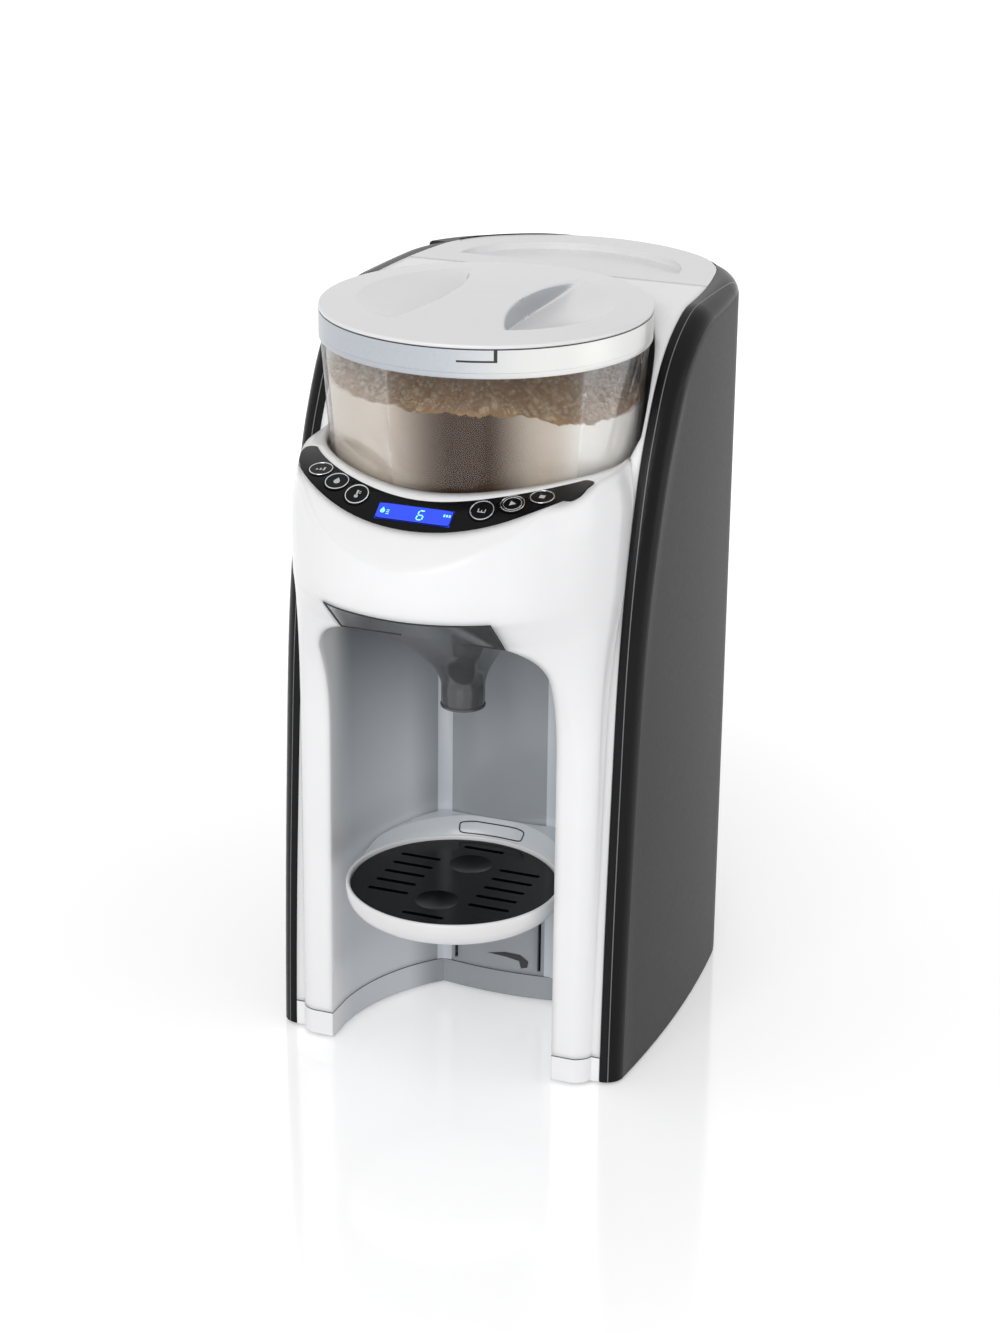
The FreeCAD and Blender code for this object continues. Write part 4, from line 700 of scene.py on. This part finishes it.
def make_lid():
    """Domed lid with its scoops, rolled rim and plug, and the seal round the plug."""
    steps, rings, radius = 360, 120, 76.8
    turn = 2 * math.pi / steps
    dome = lambda r: 371.5 - 3.2 * (r / COLLAR_RADIUS) ** 2
    rows = []
    for r in range(rings + 1):
        reach = radius * max(r / rings, 0.001)
        spots = [(reach * math.cos(turn * i), reach * math.sin(turn * i)) for i in range(steps)]
        rows.append([(AXIS[0] + x, AXIS[1] + y, dome(reach) - scoop_depth(x, y)) for x, y in spots])
    under = [(77.25, 368.15), (77.45, 367.9), (77.5, 367.5), (77.5, 366.75), (77.3, 366.55), (73.2, 366.55),
             (73.2, 359.7), (72.9, 359.4), (71.2, 359.4), (70.7, 359.7), (70.7, 361.4), (40, 361.2),
             (0.05, 361.2)]
    rows += [circle(radius, height, AXIS, steps) for radius, height in under]
    lid = piece("lid_shell", *skin(rows), "lid", "lid", "white_gloss", sharp=50)
    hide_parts("container_lid")
    bead = [(73.25, 363.6), (73.9, 363.2), (74.1, 362.6), (73.9, 362.0), (73.25, 361.6)]
    piece("lid_seal", *ring(bead, AXIS), "seal", "lid", "seal_rubber")


def band(radius, start, end, low, high, steps=24):
    """A strip of a cylinder's wall, between two angles in degrees."""
    angles = [math.radians(start + (end - start) * i / steps) for i in range(steps + 1)]
    rows = [[(AXIS[0] + radius * math.cos(a), AXIS[1] + radius * math.sin(a), z) for a in angles]
            for z in (low, high)]
    return skin(rows, closed=False)


def make_collar():
    """Bayonet slots, the shadow gap under the lid and the collar's rolled foot."""
    outside = COLLAR_RADIUS + 0.06
    for name, end in (("bayonet_slot", -65.0), ("bayonet_slot_rear", 115.0)):
        upright = band(outside, end - 1.2, end, 361.2, 366.2)
        level = band(outside, end - 13.5, end, 360.4, 361.3)
        piece(name, *joined([upright, level]), "shadow", "container", "silver_plastic")
    gap = band(COLLAR_RADIUS + 0.03, 0, 360, 366.0, 366.5, 120)
    piece("lid_gap", *gap, "shadow", "container", "silver_plastic")
    foot = [(76.6, 353.0), (77.2, 352.9), (77.45, 353.3), (77.45, 355.4), (76.95, 355.45)]
    piece("collar_foot", *ring(foot, AXIS, 120), "silver", "container", "silver_plastic")


# ---------------------------------------------------------------- funnel drawer
NECK = (0.0, -57.0)  # plan place of the funnel's neck
FLARE_TOP, FLARE_FOOT = 229.4, 188.2


def drawer_outline(half, front, rear, corner, height, steps=96):
    """Rounded outline of the drawer at one height."""
    middle, reach = (front + rear) / 2, (rear - front) / 2
    return [(half * across, middle + reach * along, height) for across, along in rounded(steps, corner)]


def blended(first, second, share, height):
    """The outline a share of the way from the first to the second."""
    return [(a[0] + (b[0] - a[0]) * share, a[1] + (b[1] - a[1]) * share, height)
            for a, b in zip(first, second)]


def funnel_rows(wall, neck_radius):
    """Rings from the drawer's rim down to the funnel's neck, one wall inside."""
    half, front, rear = 39.9 - wall, -107.2 + wall, -24.0 - wall
    wide = drawer_outline(half, front, rear, 5.0, 0)
    narrow = circle(neck_radius, 0, NECK)
    rows = []
    for k in range(25):
        share = k / 24
        height = FLARE_TOP - (FLARE_TOP - FLARE_FOOT) * share
        rows.append(blended(wide, narrow, 1 - (1 - share) ** 1.6, height))
    return rows


def make_funnel():
    """Smoky drawer: a wide flare down to the neck, with its rim above."""
    rim = ((39.6, -107.0, -24.3, 6.0, 240.9), (39.6, -107.0, -24.3, 6.0, 238.2),
           (36.4, -106.8, -24.6, 6.0, 237.9), (36.4, -106.8, -24.6, 5.5, 231.4),
           (39.5, -107.1, -24.1, 5.0, 230.6))
    tip = ((10.5, 188.0), (10.5, 178.0), (10.1, 177.4), (9.0, 177.4), (8.6, 177.8), (8.5, 188.4))
    rim_inside = ((34.2, -104.6, -26.6, 6.0, 237.0), (34.2, -104.6, -26.6, 6.0, 240.9))
    rows = [drawer_outline(*level) for level in rim] + funnel_rows(0.0, 10.5)
    rows += [circle(radius, height, NECK) for radius, height in tip]
    rows += [[(x, y, z + 1.6) for x, y, z in row] for row in reversed(funnel_rows(2.2, 8.5))]
    rows += [drawer_outline(*level) for level in rim_inside]
    rows.append(rows[0])
    funnel = piece("funnel_moulding", *skin(rows), "smoke", "funnel_drawer", "smoky_plastic", sharp=40)
    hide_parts("mixing_funnel")
    lip = ring([(8.7, 178.8), (10.75, 178.8), (10.9, 178.2), (10.75, 177.6), (8.7, 177.6)], NECK)
    piece("funnel_lip", *lip, "smoke", "funnel_drawer", "smoky_plastic")
    in_front = lambda middle, edge: min(f.normal.y for f in edge.link_faces) < -0.5
    outline = edge_beads("funnel_cover", 0.42, in_front)
    piece("cover_outline", *outline, "shadow", "funnel_drawer", "smoky_plastic")


# ---------------------------------------------------------------- bottle stand
TRAY = (0.0, -67.3)  # plan place of the round tray's middle
BAY_CORNER = (29.5, -6.3)  # where the bay's rear wall meets its right side wall
CORNER_ANGLE = math.atan2(BAY_CORNER[0], BAY_CORNER[1] - TRAY[1])
GRILLE_EDGE = 50.7
SLOPE_HALF = 84  # degrees that the sloped apron reaches to each side of the rear


def circle_through(a, b, c):
    """Centre and radius of the circle through three plan points."""
    d = 2 * (a[0] * (b[1] - c[1]) + b[0] * (c[1] - a[1]) + c[0] * (a[1] - b[1]))
    sq = lambda p: p[0] ** 2 + p[1] ** 2
    x = (sq(a) * (b[1] - c[1]) + sq(b) * (c[1] - a[1]) + sq(c) * (a[1] - b[1])) / d
    y = (sq(a) * (c[0] - b[0]) + sq(b) * (a[0] - c[0]) + sq(c) * (b[0] - a[0])) / d
    return (x, y), math.hypot(a[0] - x, a[1] - y)


def bay_reach(angle):
    """From the tray's axis to the bay's wall, at an angle from the rear."""
    way = (math.sin(abs(angle)), math.cos(angle))
    on_rear = abs(angle) < CORNER_ANGLE
    if on_rear:
        arc = (BAY_CORNER, (0, -8.9), (-BAY_CORNER[0], BAY_CORNER[1]))
    else:
        arc = ((57.5, -80.1), (50.1, -36.6), BAY_CORNER)
    (cx, cy), radius = circle_through(*arc)
    dx, dy = cx - TRAY[0], cy - TRAY[1]
    along = dx * way[0] + dy * way[1]
    half = math.sqrt(radius ** 2 - dx * dx - dy * dy + along * along)
    return along - half if on_rear else along + half


def apron_rise(angle):
    """How far the apron rises at an angle from the rear: 1 there, 0 at its ends."""
    return max(0.0, math.cos(angle * 90 / SLOPE_HALF)) ** 0.7


def on_apron(angle, share):
    """A place just above the sloped apron: share 0 at the grille, 1 at its top."""
    rise = apron_rise(angle)
    outer = min(51.0 + 7.2 * rise, bay_reach(angle) - 1.6)
    reach = GRILLE_EDGE + (outer - GRILLE_EDGE) * share
    return (TRAY[0] + reach * math.sin(angle), TRAY[1] + reach * math.cos(angle), 89.7 + 9.4 * rise * share)


def make_stand():
    """Tray with its rolled rim, the sloped apron behind it and the outline of its clip."""
    bowl = [(50.35, 86.4), (50.4, 89.9), (50.7, 90.5), (51.3, 90.8), (51.9, 90.6), (52.3, 90.0), (52.4, 89.0),
            (52.35, 87.0), (51.9, 84.4), (50.9, 81.8), (49.2, 79.7), (46.8, 78.2), (43.8, 77.6), (40, 77.5),
            (0.05, 77.5), (0.05, 80.0), (46.8, 80.2), (47.5, 81.0), (47.5, 86.2), (50.3, 86.3)]
    tray = piece("stand_bowl", *skin([circle(r, z, TRAY, 160) for r, z in bowl]), "white", "bottle_stand",
                 "white_gloss", sharp=50)
    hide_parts("bottle_stand")
    rows, steps = [], 120
    for i in range(steps + 1):
        angle = math.radians(-SLOPE_HALF + 2 * SLOPE_HALF * i / steps)
        share = apron_rise(angle)
        closing = ease((abs(math.degrees(angle)) - 58) / 26)
        wall = (bay_reach(angle) - 1.1) * (1 - closing) + 52.0 * closing
        top = min(51.0 + 7.2 * share, wall - 0.5)
        crest = 89.6 + 9.3 * share
        slope = ((50.8 + top) / 2, (89.2 + crest) / 2)
        column = [(50.6, 84.0), (GRILLE_EDGE, 89.4), slope, (top - 0.3, crest - 0.3), (top, crest),
                  (max(top + 0.1, wall - 0.5), crest), (wall, crest - 0.5), (wall, 86.0),
                  (wall - 1.4, 80.6), (49.9, 80.6)]
        rows.append([(TRAY[0] + r * math.sin(angle), TRAY[1] + r * math.cos(angle), z) for r, z in column])
    # its light grey colour is painted shade
    piece("stand_apron", *skin(rows, caps=True), "pale", "bottle_stand", "white_gloss", sharp=45)
    clip = [on_apron(math.radians(-1 + 18 * across), 0.46 + 0.27 * along) for across, along in rounded(40, 6)]
    piece("clip_outline", *tube_along(clip, 0.32), "shadow", "bottle_stand", "white_gloss")


# ---------------------------------------------------------------- controls
BUTTONS = ("temperature", "amount", "strength", "units", "start", "stop")
BUTTON_ARC = 86.4  # from the container's axis to the buttons


def button_spot(index):
    """Plan place of a button on its arc."""
    side = -1 if index < 3 else 1
    angle = math.radians(20.5 + 8.995 * (index % 3))
    return side * BUTTON_ARC * math.sin(angle), AXIS[1] - BUTTON_ARC * math.cos(angle)


def disc(radius, x=0.0, y=0.0, steps=24):
    """Outline of a round dot."""
    turn = 2 * math.pi / steps
    return [(x + radius * math.cos(turn * i), y + radius * math.sin(turn * i)) for i in range(steps)]


def bar(x, y, width, height):
    """Outline of an oblong about a middle."""
    return [(x - width / 2, y - height / 2), (x + width / 2, y - height / 2),
            (x + width / 2, y + height / 2), (x - width / 2, y + height / 2)]


def drop(size, x=0.0, y=0.0):
    """Water drop: round below, pointed above."""
    turn = 2 * math.pi / 24
    points = []
    for i in range(24):
        a = turn * i
        pull = max(0.0, math.sin(a)) ** 3
        points.append((x + size * math.cos(a) * (1 - 0.7 * pull), y + size * (math.sin(a) + 0.8 * pull)))
    return points


ICONS = {
    "temperature": [bar(0, 0.7, 0.8, 3.2), disc(0.95, 0, -1.3), bar(1.2, 1.6, 1.0, 0.4),
                    bar(1.2, 0.6, 1.0, 0.4)],
    "amount": [drop(1.5, 0, -0.3)],
    "strength": [bar(-1.6, -0.8, 0.9, 1.0), bar(0, -0.4, 0.9, 1.8), bar(1.6, 0.1, 0.9, 2.8)],
    "units": [bar(0, -1.2, 3.6, 0.45), bar(-1.6, -0.3, 0.4, 1.8), bar(0, -0.6, 0.4, 1.2),
              bar(1.6, -0.3, 0.4, 1.8)],
    "start": [[(-1.1, -1.5), (1.7, 0), (-1.1, 1.5)]],
    "stop": [bar(0, 0, 2.5, 2.5)],
}


def make_buttons():
    """A bright ring and a printed mark on each button; the start button has two rings."""
    bead = ((-0.27, -0.05), (-0.17, 0.12), (0.17, 0.12), (0.27, -0.05))
    for index, name in enumerate(BUTTONS):
        node = name + "_button"
        place = top_frame(node, *button_spot(index))
        rings = []
        for radius in (5.35, 4.2) if name == "start" else (5.35,):
            points, faces = skin([circle(radius + aside, z, steps=64) for aside, z in bead])
            rings.append((in_frame(place, points), faces))
        piece(name + "_ring", *joined(rings), "chrome", node, "black_gloss")
        marks = [flat(place, outline, 0.04, 0.0) for outline in ICONS[name]]
        piece(name + "_mark", *joined(marks), "ink", node, "black_gloss")


def segment_digit(size, x, y, lit="acdefg"):
    """Strokes of a seven-segment digit that leans a little."""
    w, h, t = 0.55 * size, size, 0.13 * size
    strokes = {"a": bar(0, h / 2, w - t, t), "g": bar(0, 0, w - t, t), "d": bar(0, -h / 2, w - t, t),
               "f": bar(-w / 2, h / 4, t, h / 2 - t), "b": bar(w / 2, h / 4, t, h / 2 - t),
               "e": bar(-w / 2, -h / 4, t, h / 2 - t), "c": bar(w / 2, -h / 4, t, h / 2 - t)}
    return [[(x + px + 0.1 * py, y + py) for px, py in strokes[key]] for key in lit]


def make_display():
    """Digit, drop and small marks that glow on the blue glass, in a dark bezel."""
    place = top_frame("display_window")
    outlines = segment_digit(5.0, 3.2, -0.2) + [drop(1.15, -15.2, -0.2)]
    outlines += [bar(-12.6, y, 1.4, 0.4) for y in (-1.6, -0.6, 0.4)]
    outlines += [bar(14.2 + 1.3 * i, 1.2, 0.8, 1.3) for i in range(3)]
    marks = joined([flat(place, outline, 0.05, 0.01) for outline in outlines])
    piece("display_marks", *marks, "segments", "machine", "lcd")
    edge = in_frame(place, [(18.1 * across, 4.4 * along, 0.0) for across, along in rounded(64, 14)])
    piece("display_bezel", *tube_along(edge, 0.25), "black", "machine", "black_gloss")


# ---------------------------------------------------------------- casing details
# outline of the thin dark curved mark on the bay's rear wall
SLOT = ((-4.7, 23.4), (4.6, 25.4), (12.7, 25.0), (17.1, 21.8), (16.6, 18.4), (13.3, 17.5), (12.2, 21.5),
        (4.6, 22.9))


def bay_spot(angle):
    """Plan place on the bay's wall at an angle from the rear."""
    reach = bay_reach(angle)
    return Vector((TRAY[0] + reach * math.sin(angle), TRAY[1] + reach * math.cos(angle)))


def make_bay_corners():
    """Soft coves where the bay's side walls meet its rear wall."""
    before, middle, after = (bay_spot(CORNER_ANGLE + turn) for turn in (0.055, 0.0005, -0.055))
    inward = Vector((-0.35, -0.94)) * 0.09
    for side, name in ((-1, "left"), (1, "right")):
        rows = []
        for height in (14.6, 60.0, 120.0, 180.0, 228.8):
            shares = [k / 10 for k in range(11)]
            spots = [before * (1 - s) ** 2 + middle * 2 * s * (1 - s) + after * s ** 2 + inward
                     for s in shares]
            rows.append([(side * spot.x, spot.y, height) for spot in spots])
        # their cool grey colour is painted shade
        piece(f"bay_cove_{name}", *skin(rows, closed=False), "cove", "machine", "white_gloss", sharp=80)


def make_bay_dark_mark():
    """Thin dark curved mark on the bay's rear wall, under the stand."""
    back = [(x, -8.95 + 2.6 * (x / BAY_CORNER[0]) ** 2 - 0.12, z) for x, z in SLOT]
    front = [(x, y - 0.12, z) for x, y, z in back]
    piece("bay_dark_mark", *slab(back, front), "shadow", "machine", "white_gloss")


def make_rear_edge():
    """Thin black lip of the rear cover, round the back of the top."""
    def high(middle, edge):
        faces_up = max(f.normal.z for f in edge.link_faces) > 0.4
        return middle.z > 0.345 and middle.y > 0.104 and faces_up

    piece("rear_lip", *edge_beads("rear_cover", 0.55, high), "black", "machine", "dark_plastic")


# ---------------------------------------------------------------- stage
CAMERA_PLACE = (0.50157, -1.32451, 0.72342)
CAMERA_TURN, CAMERA_PITCH, CAMERA_ROLL = (math.radians(a) for a in (21.60, 21.08, 0.36))
CAMERA_LENS, SENSOR_WIDTH = 83.26, 36.0  # in millimetres
CAMERA_SHIFT = (0.0279, -0.00155)


def background_ray(tree):
    """1 for a ray that shows the background as it is: seen directly, through glass or in a gloss."""
    ray = add(tree, "LightPath").outputs
    direct = add(tree, "Math", (ray["Is Camera Ray"], ray["Is Transmission Ray"]), operation="MAXIMUM")
    return add(tree, "Math", (direct.outputs[0], ray["Is Glossy Ray"]), operation="MAXIMUM").outputs[0]


def set_stage():
    """White floor that keeps the shadow and a faint mirror image, in a white surround."""
    bpy.ops.mesh.primitive_plane_add(size=12.0)
    floor = bpy.context.object
    floor.name = "floor"
    made, tree, shader = material("white_floor", Roughness=0.10, Specular_IOR_Level=0.9)
    shader.inputs["Base Color"].default_value = linear("#F0F0F1")
    shader.inputs["Emission Color"].default_value = (1, 1, 1, 1)
    place = add(tree, "TexCoord").outputs["Object"]
    away = add(tree, "VectorMath", (place,), operation="LENGTH").outputs["Value"]
    glow = zone(tree, (away, 0.2, 0.75, 0.34, 0.55))
    lit = add(tree, "Math", (background_ray(tree), glow), operation="MULTIPLY").outputs[0]
    tree.links.new(lit, shader.inputs["Emission Strength"])
    floor.data.materials.append(made)
    world = bpy.data.worlds.new("studio")
    bpy.context.scene.world = world
    world.use_nodes = True
    tree = world.node_tree
    ground = tree.nodes["Background"]
    ground.inputs["Color"].default_value = (1, 1, 1, 1)
    strength = add(tree, "MapRange", (background_ray(tree), 0.0, 1.0, 0.58, 1.0)).outputs[0]
    tree.links.new(strength, ground.inputs["Strength"])


def area(name, spot, target, size, power):
    """An oblong lamp at a spot, turned to a target, in metres and watts."""
    lamp = bpy.data.lights.new(name, "AREA")
    lamp.shape = "RECTANGLE"
    lamp.size, lamp.size_y, lamp.energy = *size, power
    item = bpy.data.objects.new(name, lamp)
    bpy.context.scene.collection.objects.link(item)
    item.location = spot
    item.rotation_euler = (Vector(target) - Vector(spot)).to_track_quat("-Z", "Y").to_euler()
    return item


def set_lights():
    """Soft key light high in front, and a weak one at the right."""
    middle = (0, 0, 0.2)
    area("key", (0.1, -2.0, 1.2), middle, (1.4, 1.2), 19.4)
    area("side", (1.8, 0.3, 0.5), middle, (0.9, 1.0), 3.0)


def set_camera():
    """The camera stands front right, a little above, looking down."""
    data = bpy.data.cameras.new("camera")
    item = bpy.data.objects.new("camera", data)
    bpy.context.scene.collection.objects.link(item)
    turn, pitch, roll = CAMERA_TURN, CAMERA_PITCH, CAMERA_ROLL
    ahead = Vector((-math.sin(turn) * math.cos(pitch), math.cos(turn) * math.cos(pitch), -math.sin(pitch)))
    right = Vector((math.cos(turn), math.sin(turn), 0))
    up = right.cross(ahead)
    right, up = (right * math.cos(roll) + up * math.sin(roll), up * math.cos(roll) - right * math.sin(roll))
    aim = Matrix((right, up, -ahead)).transposed().to_4x4()
    item.matrix_world = Matrix.Translation(CAMERA_PLACE) @ aim
    data.sensor_fit = "AUTO"
    data.sensor_width = SENSOR_WIDTH
    data.lens = CAMERA_LENS
    data.shift_x, data.shift_y = CAMERA_SHIFT
    data.clip_start, data.clip_end = 0.05, 50
    bpy.context.scene.camera = item
    bpy.context.scene.view_settings.view_transform = "Standard"


# ---------------------------------------------------------------- operators
class MAKER_OT_stage(bpy.types.Operator):
    """Floor, surround, lamps and camera"""
    bl_idname = "maker.stage"
    bl_label = "Stage"

    def execute(self, context):
        set_stage()
        set_lights()
        set_camera()
        return {"FINISHED"}


class MAKER_OT_materials(bpy.types.Operator):
    """Materials, and the finish of every carried-over piece"""
    bl_idname = "maker.materials"
    bl_label = "Materials"

    def execute(self, context):
        build_materials()
        dress_nodes()
        return {"FINISHED"}


class MAKER_OT_container(bpy.types.Operator):
    """Lid, powder and collar details of the powder container"""
    bl_idname = "maker.container"
    bl_label = "Powder container"

    def execute(self, context):
        make_powder()
        make_crumbs()
        make_lid()
        make_collar()
        return {"FINISHED"}


class MAKER_OT_funnel(bpy.types.Operator):
    """Smoky mixing funnel"""
    bl_idname = "maker.funnel"
    bl_label = "Mixing funnel"

    def execute(self, context):
        make_funnel()
        return {"FINISHED"}


class MAKER_OT_stand(bpy.types.Operator):
    """Bottle stand and the bay's corners"""
    bl_idname = "maker.stand"
    bl_label = "Bottle stand"

    def execute(self, context):
        make_stand()
        make_bay_corners()
        make_bay_dark_mark()
        make_rear_edge()
        return {"FINISHED"}


class MAKER_OT_controls(bpy.types.Operator):
    """Button rings, button marks and the lit display"""
    bl_idname = "maker.controls"
    bl_label = "Controls"

    def execute(self, context):
        make_buttons()
        make_display()
        return {"FINISHED"}


CLASSES = (BodyColours, FinishSizes, MAKER_OT_materials, MAKER_OT_container, MAKER_OT_funnel,
           MAKER_OT_stand, MAKER_OT_controls, MAKER_OT_stage)


class MAKER_PT_panel(bpy.types.Panel):
    """Lists the steps of the build"""
    bl_idname = "MAKER_PT_panel"
    bl_label = "Formula maker"
    bl_space_type = "VIEW_3D"
    bl_region_type = "UI"
    bl_category = "Formula maker"

    def draw(self, context):
        for step in CLASSES[2:]:
            self.layout.operator(step.bl_idname)


def register():
    """Register the classes and hang the properties on the scene."""
    for item in CLASSES + (MAKER_PT_panel,):
        bpy.utils.register_class(item)
    bpy.types.Scene.maker_colours = bpy.props.PointerProperty(type=BodyColours)
    bpy.types.Scene.maker_sizes = bpy.props.PointerProperty(type=FinishSizes)


def unregister():
    """Undo what register does."""
    del bpy.types.Scene.maker_sizes
    del bpy.types.Scene.maker_colours
    for item in reversed(CLASSES + (MAKER_PT_panel,)):
        bpy.utils.unregister_class(item)


def main():
    """Build the whole finish."""
    register()
    bpy.ops.maker.materials()
    bpy.ops.maker.container()
    bpy.ops.maker.funnel()
    bpy.ops.maker.stand()
    bpy.ops.maker.controls()
    bpy.ops.maker.stage()


if __name__ == "__main__":
    main()
